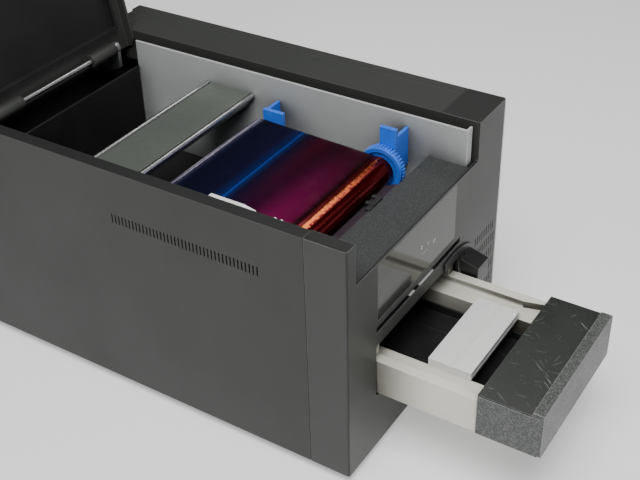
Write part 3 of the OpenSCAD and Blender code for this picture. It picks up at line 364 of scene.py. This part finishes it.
blackPlastic = {
    "colour": (0.007, 0.007, 0.0073), "drift": (0.010, 0.010, 0.0103), "driftSize": 0.03,
    "fleck": (0.03, 0.03, 0.03), "fleckAmount": 0.2, "grainSize": 0.0007,
    "roughness": (0.34, 0.46), "bump": 0.15, "edge": (0.07, 0.07, 0.07), "edgeAmount": 0.5,
}
darkFrame = {
    **blackPlastic, "colour": (0.008, 0.0085, 0.008), "drift": (0.012, 0.0125, 0.012),
    "roughness": (0.42, 0.55), "specular": 0.15,
}
# the faint purple in its colour is a painted reflection of the film
glossApron = {
    **blackPlastic, "colour": (0.035, 0.027, 0.036), "drift": (0.028, 0.022, 0.03),
    "roughness": (0.3, 0.4), "bump": 0.05,
}
paleSheet = {
    "colour": (0.37, 0.38, 0.375), "drift": (0.33, 0.34, 0.335), "driftSize": 0.08,
    "fleckAmount": 0.08, "grainSize": 0.0006, "roughness": (0.42, 0.5), "bump": 0.08,
    "edge": (0.75, 0.75, 0.73), "edgeAmount": 0.9, "edgeWidth": 0.0009,
    "corner": (0.012, 0.012, 0.013), "cornerReach": 0.045, "cornerFrom": 0.75,
    "cornerAmount": 0.9,
}
brightSteel = {
    "colour": (0.60, 0.61, 0.62), "drift": (0.5, 0.51, 0.52), "driftSize": 0.03, "metallic": 1.0,
    "fleck": (0.75, 0.75, 0.75), "fleckAmount": 0.25, "grainSize": 0.0005,
    "stretch": (0.03, 1, 1), "roughness": (0.2, 0.34), "bump": 0.08,
}
headAlloy = {
    **brightSteel, "colour": (0.40, 0.41, 0.42), "drift": (0.35, 0.36, 0.37), "driftSize": 0.06,
    "fleckAmount": 0.12, "grainSize": 0.0008, "roughness": (0.38, 0.46), "bump": 0.02,
    "edge": (0.7, 0.7, 0.7), "edgeAmount": 0.5,
}
satinPlate = {
    "colour": (0.26, 0.285, 0.255), "drift": (0.19, 0.21, 0.19), "driftSize": 0.06,
    "metallic": 0.75, "fleckAmount": 0.2, "grainSize": 0.0005, "stretch": (0.05, 1, 1),
    "roughness": (0.3, 0.4), "bump": 0.1,
    "edge": (0.6, 0.6, 0.58), "edgeAmount": 0.35, "edgeWidth": 0.0005,
}
whitePlastic = {
    "colour": (0.74, 0.75, 0.72), "drift": (0.68, 0.69, 0.66), "driftSize": 0.03,
    "fleck": (0.8, 0.8, 0.8), "fleckAmount": 0.1, "grainSize": 0.0007,
    "roughness": (0.3, 0.38), "bump": 0.06, "edge": (0.9, 0.9, 0.9), "edgeAmount": 0.5,
}
bluePlastic = {
    "colour": (0.018, 0.12, 0.66), "drift": (0.02, 0.15, 0.74), "driftSize": 0.02,
    "fleck": (0.05, 0.25, 0.85), "fleckAmount": 0.15, "grainSize": 0.0009,
    "roughness": (0.22, 0.3), "bump": 0.04, "coat": 0.3,
    "edge": (0.2, 0.45, 1.0), "edgeAmount": 0.75, "edgeWidth": 0.0005,
}
blackRubber = {
    "colour": (0.013, 0.013, 0.013), "drift": (0.02, 0.02, 0.02), "driftSize": 0.01,
    "fleckAmount": 0.3, "grainSize": 0.0009, "roughness": (0.6, 0.75), "bump": 0.3,
}
trayCream = {
    "colour": (0.66, 0.65, 0.575), "drift": (0.60, 0.585, 0.50), "driftSize": 0.05,
    "fleck": (0.72, 0.71, 0.65), "fleckAmount": 0.2, "grainSize": 0.0009,
    "roughness": (0.36, 0.46), "bump": 0.08, "edge": (0.85, 0.84, 0.8), "edgeAmount": 0.6,
    "corner": (0.012, 0.009, 0.004), "cornerReach": 0.055, "cornerFrom": 0.97,
    "cornerAmount": 0.97, "cornerOnFlat": 0.35,
}
drawerShell = {
    "colour": (0.034, 0.038, 0.036), "drift": (0.045, 0.049, 0.047), "driftSize": 0.05,
    "fleck": (0.3, 0.3, 0.29), "fleckFrom": 0.45, "fleckTo": 0.8, "fleckAmount": 0.6,
    "grainSize": 0.0012, "grainDetail": 4, "pebble": 0.0014, "bumpDepth": 0.0004, "bump": 0.45,
    "roughness": (0.36, 0.48), "edge": (0.5, 0.5, 0.5), "edgeAmount": 0.85,
}
restTop = {
    "colour": (0.014, 0.017, 0.015), "drift": (0.019, 0.022, 0.020), "driftSize": 0.03,
    "fleck": (0.05, 0.055, 0.05), "fleckAmount": 0.3, "grainSize": 0.0012,
    "roughness": (0.24, 0.36), "specular": 0.35, "bump": 0.06,
    "edge": (0.3, 0.3, 0.3), "edgeAmount": 0.5,
    # lean in degrees, width, and the level of the noise from which a scratch shows
    "scratches": [(28, 0.0011, 0.70), (-52, 0.0013, 0.705), (80, 0.0012, 0.71), (5, 0.0011, 0.715)],
    "scratch": (0.32, 0.34, 0.32), "scratchAmount": 0.5,
}
weightAlloy = {
    "colour": (0.80, 0.80, 0.79), "drift": (0.72, 0.72, 0.715), "driftSize": 0.05, "metallic": 0.3,
    "fleck": (0.8, 0.8, 0.79), "fleckAmount": 0.4, "grainSize": 0.0006, "stretch": (0.04, 1, 1),
    "roughness": (0.42, 0.52), "bump": 0.14, "edge": (0.88, 0.88, 0.88), "edgeAmount": 0.7,
}
coatedBoard = {
    "colour": (0.008, 0.075, 0.028), "drift": (0.01, 0.1, 0.035), "driftSize": 0.006,
    "fleck": (0.35, 0.33, 0.12), "fleckFrom": 0.6, "fleckTo": 0.7, "fleckAmount": 0.6,
    "grainSize": 0.003, "roughness": (0.25, 0.4), "bump": 0.2,
}
plainSheet = {
    "colour": (0.5, 0.51, 0.52), "drift": (0.42, 0.43, 0.44), "driftSize": 0.02, "metallic": 0.9,
    "fleck": (0.65, 0.66, 0.67), "grainSize": 0.002, "roughness": (0.3, 0.5), "bump": 0.1,
}

# finish, edge rounding in mm, nodes
finishSheet = [
    ("wallPaint", wallPaint, 0.35, ["left_side_panel"]),
    ("casePaint", casePaint, 0.35, ["right_side_panel", "rear_panel", "rear_crossbar",
                                    "right_top_cover", "lid_shell"]),
    ("frontPaint", frontPaint, 0, ["front_cap"]),
    ("deckGrain", deckGrain, 0.3, ["front_ledge"]),
    ("overlayGloss", overlayGloss, 0, ["display_panel"]),
    ("darkFrame", darkFrame, 0, ["base_pan", "inner_left_frame", "bay_floor", "card_guides",
                                 "drawer_runners", "drive_motor", "lid_liner"]),
    ("blackPlastic", blackPlastic, 0, ["ribbon_sensor", "pocket_floor", "release_lever",
                                       "power_switch", "power_inlet", "port_block",
                                       "fan_frame", "fan_rotor"]),
    ("glossApron", glossApron, 0, ["spool_apron"]),
    ("paleSheet", paleSheet, 0, ["inner_right_wall", "lid_strike"]),
    ("brightSteel", brightSteel, 0, ["guide_rods", "hinge_rod", "head_springs"]),
    ("headAlloy", headAlloy, 0, ["hinge_brackets", "head_bracket", "print_head",
                                 "rear_screws", "motor_pulley"]),
    ("satinPlate", satinPlate, 0, ["transfer_cover"]),
    ("whitePlastic", whitePlastic, 0, ["left_spool_supports", "ribbon_guide_rail",
                                       "take_up_core", "supply_core", "spool_pinion"]),
    ("bluePlastic", bluePlastic, 0, ["right_spool_supports", "take_up_flange"]),
    ("blackRubber", blackRubber, 0, ["rubber_feet", "platen_roller", "feed_roller",
                                     "exit_roller", "pick_roller", "drive_belt"]),
    ("trayCream", trayCream, 0.5, ["drawer_tray"]),
    ("drawerShell", drawerShell, 0, ["drawer_front"]),
    ("restTop", restTop, 0.25, ["rest_plate"]),
    ("weightAlloy", weightAlloy, 0.3, ["card_weight"]),
    ("coatedBoard", coatedBoard, 0, ["control_board"]),
    ("plainSheet", plainSheet, 0, ["power_supply"]),
]

# Loose corners are welded (m) and flat faces joined (degrees), then sharp edges are rounded
edgeRounding = {"steps": 2, "sharpFrom": 40, "weldWithin": 1e-6, "flatWithin": 0.4}


def softenEdges(piece, rounding, sharpFrom, clamp):
    soft = piece.modifiers.new("softEdges", "BEVEL")
    soft.width = mm(rounding)
    soft.segments = edgeRounding["steps"]
    soft.limit_method = "ANGLE"
    soft.angle_limit = math.radians(sharpFrom)
    soft.use_clamp_overlap = clamp


def dressNode(name, mat, rounding):
    thing = nodes[name]
    thing.data.materials.clear()
    thing.data.materials.append(mat)
    for face in thing.data.polygons:
        face.material_index = 0
    if rounding:
        weld = thing.modifiers.new("join", "WELD")
        weld.merge_threshold = edgeRounding["weldWithin"]
        flat = thing.modifiers.new("flatFaces", "DECIMATE")
        flat.decimate_type = "DISSOLVE"
        flat.angle_limit = math.radians(edgeRounding["flatWithin"])
        softenEdges(thing, rounding, edgeRounding["sharpFrom"], clamp=False)


for finishName, look, rounding, members in finishSheet:
    mat = makeFinish(finishName, look)
    for member in members:
        dressNode(member, mat, rounding)
print("finishes are on the carried-over nodes")


def linkPiece(name, mesh, body, mat, smooth=True):
    piece = bpy.data.objects.new(name, mesh)
    bpy.context.scene.collection.objects.link(piece)
    mesh.materials.append(mat)
    for face in mesh.polygons:
        face.use_smooth = smooth
    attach(piece, body)
    return piece


def gridMesh(name, rows, closeAround=False):
    across = len(rows[0])
    verts = [v for row in rows for v in row]
    faces = []
    for i in range(len(rows) - 1):
        for k in range(across if closeAround else across - 1):
            n = (k + 1) % across
            near, far = i * across, (i + 1) * across
            faces.append((near + k, near + n, far + n, far + k))
    mesh = bpy.data.meshes.new(name)
    mesh.from_pydata(verts, [], faces)
    mesh.update()
    return mesh


# What the film and its two rolls share. Their colour stops are given for the left and the right,
# and sides says between which x one gives way to the other.
plainFilm = {
    "sides": (40, 165), "wanderDetail": 3, "wanderBand": (0.2, 0.8),
    "hazeSize": 0.012, "hazeDetail": 3, "hazeBand": (0.3, 0.7),
    "creaseDetail": 2, "creaseDepth": 0.0004, "coatRoughness": 0.05,
}


# Film colour runs along one measure: the distance from the front, or the angle round a roll. On the
# rolls the stops also hold a painted highlight band at a fixed angle.
def filmFinish(name, ownLook):
    look = {**plainFilm, **ownLook}
    mat, shader = startPaint(name)
    tree = mat.node_tree
    place = addNode(tree, "ShaderNodeTexCoord").outputs["Object"]
    split = addNode(tree, "ShaderNodeSeparateXYZ")
    tree.links.new(place, split.inputs["Vector"])
    if "centre" in look:
        centre = spot(0, *look["centre"])
        rise = reckon(tree, "SUBTRACT", split.outputs["Z"], centre.z)
        run = reckon(tree, "SUBTRACT", split.outputs["Y"], centre.y)
        turn = reckon(tree, "ARCTAN2", rise, run)
        along = remap(tree, turn, -math.pi, math.pi, 0, 1)
    else:
        first, last = (spot(0, y, 0).y for y in look["span"])
        along = remap(tree, split.outputs["Y"], first, last, 0, 1)
    wander = noiseField(tree, place, look["wanderSize"], look["wanderDetail"])
    wander = remap(tree, wander, *look["wanderBand"], -look["wander"], look["wander"])
    shifted = reckon(tree, "ADD", along, wander)
    left, right = (spot(x, 0, 0).x for x in look["sides"])
    across = remap(tree, split.outputs["X"], left, right, 0, 1)
    inks = [colourRamp(tree, shifted, look[side]) for side in ("leftStops", "rightStops")]
    tree.links.new(colourMix(tree, across, *inks), shader.inputs["Base Color"])
    haze = noiseField(tree, place, look["hazeSize"], look["hazeDetail"])
    shine = remap(tree, haze, *look["hazeBand"], *look["roughness"])
    tree.links.new(shine, shader.inputs["Roughness"])
    creases = noiseField(tree, place, look["creaseSize"], look["creaseDetail"],
                         look["creaseStretch"])
    addBump(tree, shader, creases, look["crease"], look["creaseDepth"])
    if "metalStops" in look:
        sheen = colourRamp(tree, along, look["metalStops"])
        tree.links.new(sheen, shader.inputs["Metallic"])
    else:
        shader.inputs["Metallic"].default_value = look["metallic"]
    shader.inputs["Coat Weight"].default_value = look["coat"]
    shader.inputs["Coat Roughness"].default_value = look["coatRoughness"]
    shader.inputs["Specular IOR Level"].default_value = look["specular"]
    return mat


filmSheet = {
    "left": 28.8, "right": 177, "thickness": 0.1,
    "take": (74, -45.4, 14.5), "supply": (196, -50, 23), "skinGap": 0.07,  # y, z and radius
    "columns": 170, "rows": 150, "rowCrowding": 1.25, "wrapSupply": 6, "wrapRows": 9,
    "tuck": 0.12, "tuckLength": 4,  # the film rises out of the roll's own skin
    "ripple": 0.2,
    # share, then mm across and along the film for a step of the noise, two ways, and its layer
    "ripples": [(1, (34, 60), (-80, 22), 3.1), (0.3, (7, 8.75), (60, -60), 7.7)],
    # the shut lid's head presses the film down to the platen, all but the tail behind cutAt; here
    # the film is only cut in two at cutAt
    "cutAt": 164, "pressedTo": -64.75, "pressedShare": 0.03,
    "look": {
        "span": (60, 215), "wander": 0.003, "wanderSize": 0.03, "roughness": (0.1, 0.2),
        "creaseSize": 0.03, "creaseStretch": (1, 0.5, 1), "crease": 0.10,
        "coat": 0.25, "specular": 0.25,
        "leftStops": [
            (0.0, (0.20, 0.008, 0.012)), (0.108, (0.14, 0.005, 0.01)),
            (0.125, (0.012, 0.001, 0.004)), (0.165, (0.11, 0.001, 0.036)),
            (0.27, (0.13, 0.001, 0.050)), (0.40, (0.028, 0.001, 0.018)),
            (0.56, (0.006, 0.004, 0.022)), (0.593, (0.006, 0.016, 0.085)),
            (0.6045, (0.008, 0.05, 0.30)), (0.612, (0.005, 0.013, 0.075)),
            (0.68, (0.004, 0.004, 0.018)), (0.86, (0.003, 0.003, 0.012)),
            (0.96, (0.01, 0.015, 0.06)),
        ],
        "rightStops": [
            (0.0, (0.22, 0.01, 0.01)), (0.108, (0.11, 0.004, 0.008)),
            (0.125, (0.014, 0.001, 0.003)), (0.22, (0.030, 0.001, 0.010)),
            (0.36, (0.016, 0.001, 0.006)), (0.46, (0.032, 0.001, 0.008)),
            (0.56, (0.005, 0.003, 0.016)), (0.593, (0.004, 0.012, 0.07)),
            (0.6045, (0.006, 0.035, 0.22)), (0.612, (0.004, 0.01, 0.06)),
            (0.68, (0.005, 0.004, 0.022)), (0.86, (0.003, 0.003, 0.014)),
            (0.96, (0.01, 0.015, 0.06)),
        ],
        "metalStops": [
            (0.115, (0.85, 0.85, 0.85)), (0.15, (0.25, 0.25, 0.25)),
            (0.88, (0.25, 0.25, 0.25)), (0.93, (0.8, 0.8, 0.8)),
        ],
    },
}


# The straight run from the top of one roll to the top of the other, then a short way round the
# supply roll: each point with how free the film is to ripple there
def filmPath(sheet):
    take, supply = (Vector(sheet[k][:2]) for k in ("take", "supply"))
    takeR, supplyR = (sheet[k][2] + sheet["skinGap"] for k in ("take", "supply"))
    span = supply - take
    lean = math.atan2(span.y, span.x) + math.acos((takeR - supplyR) / span.length)
    first = take + takeR * Vector((math.cos(lean), math.sin(lean)))
    last = supply + supplyR * Vector((math.cos(lean), math.sin(lean)))
    path = []
    for i in range(sheet["rows"]):
        t = (i / sheet["rows"]) ** sheet["rowCrowding"]
        path.append((first.lerp(last, t), math.sin(math.pi * t) ** 0.5))
    for i in range(sheet["wrapRows"]):
        a = lean - math.radians(sheet["wrapSupply"]) * i / (sheet["wrapRows"] - 1)
        path.append((supply + supplyR * Vector((math.cos(a), math.sin(a))), 0))
    return path


def filmRipple(x, y):
    return sum(share * noise.noise(Vector((x / a + y / b, x / c + y / d, layer)))
               for share, (a, b), (c, d), layer in filmSheet["ripples"])


def makeFilmSheet():
    sheet = filmSheet
    path = filmPath(sheet)
    start = path[0][0].x
    rows = []
    for point, free in path:
        away = min(1, max(0, (point.x - start) / sheet["tuckLength"]))
        tuck = sheet["tuck"] * (1 - away * away * (3 - 2 * away))
        row = []
        for k in range(sheet["columns"] + 1):
            x = sheet["left"] + (sheet["right"] - sheet["left"]) * k / sheet["columns"]
            lift = free * sheet["ripple"] * filmRipple(x, point.x)
            row.append(spot(x, point.x, point.y - tuck + lift))
        rows.append(row)
    ink = filmFinish("filmSheetInkAndHighlight", sheet["look"])
    cut = next(i for i, (point, free) in enumerate(path) if point.x > sheet["cutAt"])
    for name, part in (("filmSheet", rows[:cut + 1]), ("filmTail", rows[cut:])):
        piece = linkPiece(name, gridMesh(name, part), "casing", ink)
        body = piece.modifiers.new("thickness", "SOLIDIFY")
        body.thickness = mm(sheet["thickness"])
        body.offset = -1
        body.use_rim = False
        if name == "filmSheet":
            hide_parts("ribbon_web")
            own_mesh(piece)


takeUpRoll = {
    "name": "takeUpRoll", "node": "take_up_film", "body": "take_up_spool", "slot": "take_film",
    "centre": (74, -45.4), "radius": 14.45, "core": 8.3, "left": 27.8, "right": 178,
    "pucker": 0.04, "puckerPitch": 2.6,
    "look": {
        "wander": 0.03, "wanderSize": 0.003, "roughness": (0.12, 0.2),
        "creaseSize": 0.003, "creaseStretch": (1, 0.12, 0.12), "crease": 0.16,
        "metallic": 0.9, "coat": 0.12, "specular": 0.3,
        # the bright orange band from about 0.745 to 0.8 round the roll, narrower on the right, is a
        # painted highlight: the lamp's streak on the film
        "leftStops": [
            (0.0, (0.16, 0.002, 0.004)), (0.70, (0.26, 0.004, 0.006)),
            (0.75, (0.80, 0.20, 0.05)), (0.795, (0.74, 0.17, 0.045)),
            (0.808, (0.12, 0.002, 0.004)), (1.0, (0.12, 0.002, 0.004)),
        ],
        "rightStops": [
            (0.0, (0.16, 0.002, 0.004)), (0.70, (0.26, 0.005, 0.006)),
            (0.745, (0.82, 0.18, 0.06)), (0.765, (0.74, 0.16, 0.05)),
            (0.775, (0.12, 0.002, 0.004)), (1.0, (0.12, 0.002, 0.004)),
        ],
    },
}
supplyRoll = {
    "name": "supplyRoll", "node": "supply_film", "body": "supply_spool",
    "slot": "supply_film_slot",
    "centre": (196, -50), "radius": 22.95, "core": 8.3, "left": 27.8, "right": 178,
    "pucker": 0.12, "puckerPitch": 6,
    "look": {
        "wander": 0.01, "wanderSize": 0.02, "roughness": (0.1, 0.2),
        "creaseSize": 0.008, "creaseStretch": (1, 0.2, 0.2), "crease": 0.2,
        "metallic": 0.8, "coat": 0.8, "specular": 0.5,
        # the pale lilac band from about 0.645 to 0.715 round the roll is a painted highlight
        "leftStops": [
            (0.0, (0.04, 0.03, 0.10)), (0.61, (0.05, 0.08, 0.26)), (0.645, (0.16, 0.18, 0.45)),
            (0.665, (0.72, 0.62, 0.92)), (0.695, (0.72, 0.62, 0.92)), (0.712, (0.06, 0.05, 0.14)),
            (1.0, (0.02, 0.02, 0.06)),
        ],
        "rightStops": [
            (0.0, (0.04, 0.03, 0.10)), (0.61, (0.06, 0.08, 0.26)), (0.645, (0.2, 0.2, 0.45)),
            (0.66, (0.80, 0.70, 0.95)), (0.70, (0.80, 0.70, 0.95)), (0.716, (0.06, 0.05, 0.14)),
            (1.0, (0.02, 0.02, 0.06)),
        ],
    },
}

# Every second turn of film at a roll's end stands back by turnRelief, and the outermost by endInset
rollMesh = {
    "around": 120, "columns": 170, "turns": 14, "turnRelief": 0.12, "endInset": 0.15,
    "puckerTurn": 1.3, "weldWithin": 1e-6,
}


def rollRing(roll, x, radius, rough):
    cy, cz = roll["centre"]
    reach = rollMesh["puckerTurn"]
    ring = []
    for k in range(rollMesh["around"]):
        a = 2 * math.pi * k / rollMesh["around"]
        skin = Vector((x / roll["puckerPitch"], reach * math.cos(a), reach * math.sin(a)))
        r = radius + rough * noise.noise(skin)
        ring.append(spot(x, cy + r * math.cos(a), cz + r * math.sin(a)))
    return ring


# A wound roll puckers a little round its skin, and its ends show the turns of film
def makeRoll(roll):
    left, right, radius, core = (roll[k] for k in ("left", "right", "radius", "core"))
    turns, columns = rollMesh["turns"], rollMesh["columns"]
    ends = []
    for i in range(turns + 1):
        inset = rollMesh["turnRelief"] * (i % 2) + rollMesh["endInset"] * (i == turns)
        ends.append((core + (radius - core) * i / turns, inset))
    rings = [rollRing(roll, left + inset, r, 0) for r, inset in ends]
    rings += [rollRing(roll, left + (right - left) * i / columns, radius, roll["pucker"])
              for i in range(1, columns)]
    rings += [rollRing(roll, right - inset, r, 0) for r, inset in reversed(ends)]
    rings.append(rings[0])
    mesh = gridMesh(roll["name"], rings, closeAround=True)
    work = bmesh.new()
    work.from_mesh(mesh)
    bmesh.ops.remove_doubles(work, verts=work.verts, dist=rollMesh["weldWithin"])
    bmesh.ops.recalc_face_normals(work, faces=work.faces)
    work.to_mesh(mesh)
    work.free()
    ink = filmFinish(roll["name"] + "InkAndHighlight", {**roll["look"], "centre": roll["centre"]})
    piece = linkPiece(roll["name"], mesh, roll["body"], ink)
    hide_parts(roll["node"])


makeFilmSheet()
makeRoll(takeUpRoll)
makeRoll(supplyRoll)
print("film is threaded between its rolls")


# Small fittings seen at the front

right, back, above = Vector((1, 0, 0)), Vector((0, 1, 0)), Vector((0, 0, 1))


# Walls between two loops of points, with flat ends where they are asked for
def joinLoops(work, first, second, ends=False):
    for i in range(len(first)):
        k = (i + 1) % len(first)
        work.faces.new((first[i], first[k], second[k], second[i]))
    if ends:
        work.faces.new(first)
        work.faces.new(list(reversed(second)))


# Raises a flat outline from origin by height, with a small chamfer round its face. The outline
# runs along across and up, and out is the way it is raised.
def raisedPlate(work, outline, origin, across, up, out, height, chamfer):
    count = len(outline)
    centre = (sum(p[0] for p in outline) / count, sum(p[1] for p in outline) / count)
    rings = []
    for level, shrink in ((0, 0), (height - chamfer, 0), (height, chamfer)):
        ring = []
        for px, py in outline:
            away = Vector((px - centre[0], py - centre[1]))
            length = away.length or 1
            px, py = (c + a * (1 - shrink / length) for c, a in zip(centre, away))
            ring.append(work.verts.new(origin + mm(px) * across + mm(py) * up + mm(level) * out))
        rings.append(ring)
    for low, high in zip(rings, rings[1:]):
        joinLoops(work, low, high)
    work.faces.new(rings[-1])
    work.faces.new(list(reversed(rings[0])))


def finishMesh(name, work):
    bmesh.ops.recalc_face_normals(work, faces=work.faces)
    mesh = bpy.data.meshes.new(name)
    work.to_mesh(mesh)
    work.free()
    return mesh


slotTabs = {
    "spans": [(103.5, 112.5), (121, 147)], "front": 0.5, "floor": -109.15,
    "depth": 2.6, "height": 0.7, "corner": 0.8, "cornerCut": 0.25, "chamfer": 0.15,
    "look": {**whitePlastic, "colour": (0.82, 0.82, 0.8)},
}


def makeSlotTabs():
    tabs = slotTabs
    work = bmesh.new()
    for x0, x1 in tabs["spans"]:
        c, d, w = tabs["corner"], tabs["depth"], x1 - x0
        cut = tabs["cornerCut"] * c
        outline = [(c, 0), (w - c, 0), (w - cut, cut), (w, c),
                   (w, d), (0, d), (0, c), (cut, cut)]
        origin = spot(x0, tabs["front"], tabs["floor"])
        raisedPlate(work, outline, origin, right, back, above, tabs["height"], tabs["chamfer"])
    mesh = finishMesh("slotTabs", work)
    white = makeFinish("slotTabWhite", tabs["look"])
    linkPiece("slotTabs", mesh, "casing", white, smooth=False)


# The hook is an arc about a point below the tip; neck and heel are a share of half, and a drop
latchFingers = {
    "axis": 74, "offsets": (-3.3, 3.3), "left": 17.9, "thick": 2.3,
    "foot": -17, "tip": -5.4, "half": 1.15, "neck": (0.85, 5), "heel": (0.9, 3),
    "hookShift": 0.2, "hookReach": 1.25, "hookHeight": 1.3, "hookTurn": (-60, 180, 20),
    "rounding": 0.3, "sharpFrom": 50,
    "look": slotTabs["look"],
}


def fingerOutline(finger):
    half, foot, tip, drop = (finger[k] for k in ("half", "foot", "tip", "hookHeight"))
    middle, reach = finger["hookShift"] * half, finger["hookReach"] * half
    neck, heel = finger["neck"], finger["heel"]
    start, end, step = finger["hookTurn"]
    outline = [(-half, foot), (half, foot), (half * neck[0], tip - neck[1])]
    for turn in range(start, end + 1, step):
        a = math.radians(turn)
        outline.append((middle + reach * math.cos(a), tip - drop + drop * math.sin(a)))
    outline.append((-half * heel[0], tip - heel[1]))
    return outline


# Two sprung fingers with rounded, hooked tips keep the take-up spool in its cradle
def makeLatchFingers():
    finger = latchFingers
    work = bmesh.new()
    for offset in finger["offsets"]:
        outline = fingerOutline(finger)
        if offset > 0:
            outline = [(-py, pz) for py, pz in reversed(outline)]
        loops = []
        for x in (finger["left"], finger["left"] + finger["thick"]):
            loops.append([work.verts.new(spot(x, finger["axis"] + offset + py, pz))
                          for py, pz in outline])
        joinLoops(work, *loops, ends=True)
    mesh = finishMesh("latchFingers", work)
    white = makeFinish("fingerWhite", finger["look"])
    piece = linkPiece("latchFingers", mesh, "casing", white, smooth=False)
    softenEdges(piece, finger["rounding"], finger["sharpFrom"], clamp=True)


capSeams = {
    "inset": 1.15, "frontInset": 0.5, "width": 0.85, "height": 0.03, "chamfer": 0.005,
    "front": 0.7, "back": 37.6, "foot": -235.3, "topGap": 0.8,
    "look": {**blackPlastic, "colour": (0.004, 0.004, 0.004), "drift": (0.006, 0.006, 0.006),
             "fleckAmount": 0.1},
}


# The joint between the front cap and its two side skins, over the rim and down the front corner:
# thin black strips laid on the surface as painted shade for the shadow in that gap
def makeCapSeams():
    seam = capSeams
    # inset from the side, y and z of the start, direction, way out, length
    strips = [
        (seam["inset"], (seam["front"], 0), back, above, seam["back"] - seam["front"]),
        (seam["frontInset"], (0, seam["foot"]), above, -back, -seam["foot"] - seam["topGap"]),
    ]
    wide, height, chamfer = (seam[k] for k in ("width", "height", "chamfer"))
    work = bmesh.new()
    for onRight in (False, True):
        for inset, start, up, out, reach in strips:
            x = casing["width"] - inset - wide if onRight else inset
            outline = [(0, 0), (wide, 0), (wide, reach), (0, reach)]
            raisedPlate(work, outline, spot(x, *start), right, up, out, height, chamfer)
    mesh = finishMesh("capSeams", work)
    shade = makeFinish("seamShade", seam["look"])
    linkPiece("capSeams", mesh, "casing", shade, smooth=False)


overlayMarks = {
    "front": -0.02, "height": 0.09, "stroke": 0.55,
    # plain status signs: kind, place x and z, size
    "signs": [("ring", 121.2, -68.9, 3.4), ("drop", 133.2, -71.5, 3.6),
              ("bars", 127.0, -77.0, 7.0), ("card", 145.0, -76.0, 4.4)],
    # outlines as shares of half the size; a bar is so many mm from its middle to its ends
    "ringPoints": 24,
    "drop": [(0, 1), (0.3, 0.5), (0.62, 0), (0.55, -0.5), (0, -0.8), (-0.55, -0.5),
             (-0.62, 0), (-0.3, 0.5)],
    "card": [(-1, -0.6), (1, -0.6), (1, 0.6), (-1, 0.6)],
    "bar": (0.9, 0.25),
    "look": {
        "colour": (0.62, 0.63, 0.61), "drift": (0.54, 0.55, 0.53), "driftSize": 0.01,
        "fleckAmount": 0.2, "grainSize": 0.0008, "roughness": (0.4, 0.5), "bump": 0.05,
    },
}


# Closed strokes of the plain signs, in mm from the sign's own centre
def signStrokes(kind, size):
    r = size / 2
    if kind == "ring":
        count = overlayMarks["ringPoints"]
        turns = (2 * math.pi * k / count for k in range(count))
        return [[(r * math.cos(a), r * math.sin(a)) for a in turns]]
    if kind == "bars":
        w, h = overlayMarks["bar"]
        return [[(x - w, -h), (x + w, -h), (x + w, h), (x - w, h)] for x in (-r, 0, r)]
    return [[(r * px, r * pz) for px, pz in overlayMarks[kind]]]


def makeOverlayMarks():
    front, height, stroke = (overlayMarks[k] for k in ("front", "height", "stroke"))
    work = bmesh.new()

    def loop(outline, x, y, z):
        return [work.verts.new(spot(x + px, y, z + pz)) for px, pz in outline]

    for kind, x, z, size in overlayMarks["signs"]:
        for outline in signStrokes(kind, size):
            if kind == "bars":
                near, far = (loop(outline, x, y, z) for y in (front, front + height))
                joinLoops(work, near, far, ends=True)
            else:
                share = 1 - 2 * stroke / size
                inner = [(px * share, pz * share) for px, pz in outline]
                loops = [loop(outline, x, front, z), loop(inner, x, front, z),
                         loop(inner, x, front + height, z), loop(outline, x, front + height, z)]
                for near, far in zip(loops, loops[1:] + loops[:1]):
                    joinLoops(work, near, far)
    mesh = finishMesh("overlayMarks", work)
    ink = makeFinish("markInkAndHighlight", overlayMarks["look"])
    linkPiece("overlayMarks", mesh, "casing", ink, smooth=False)


makeSlotTabs()
makeLatchFingers()
makeCapSeams()
makeOverlayMarks()
print("small fittings are in place")
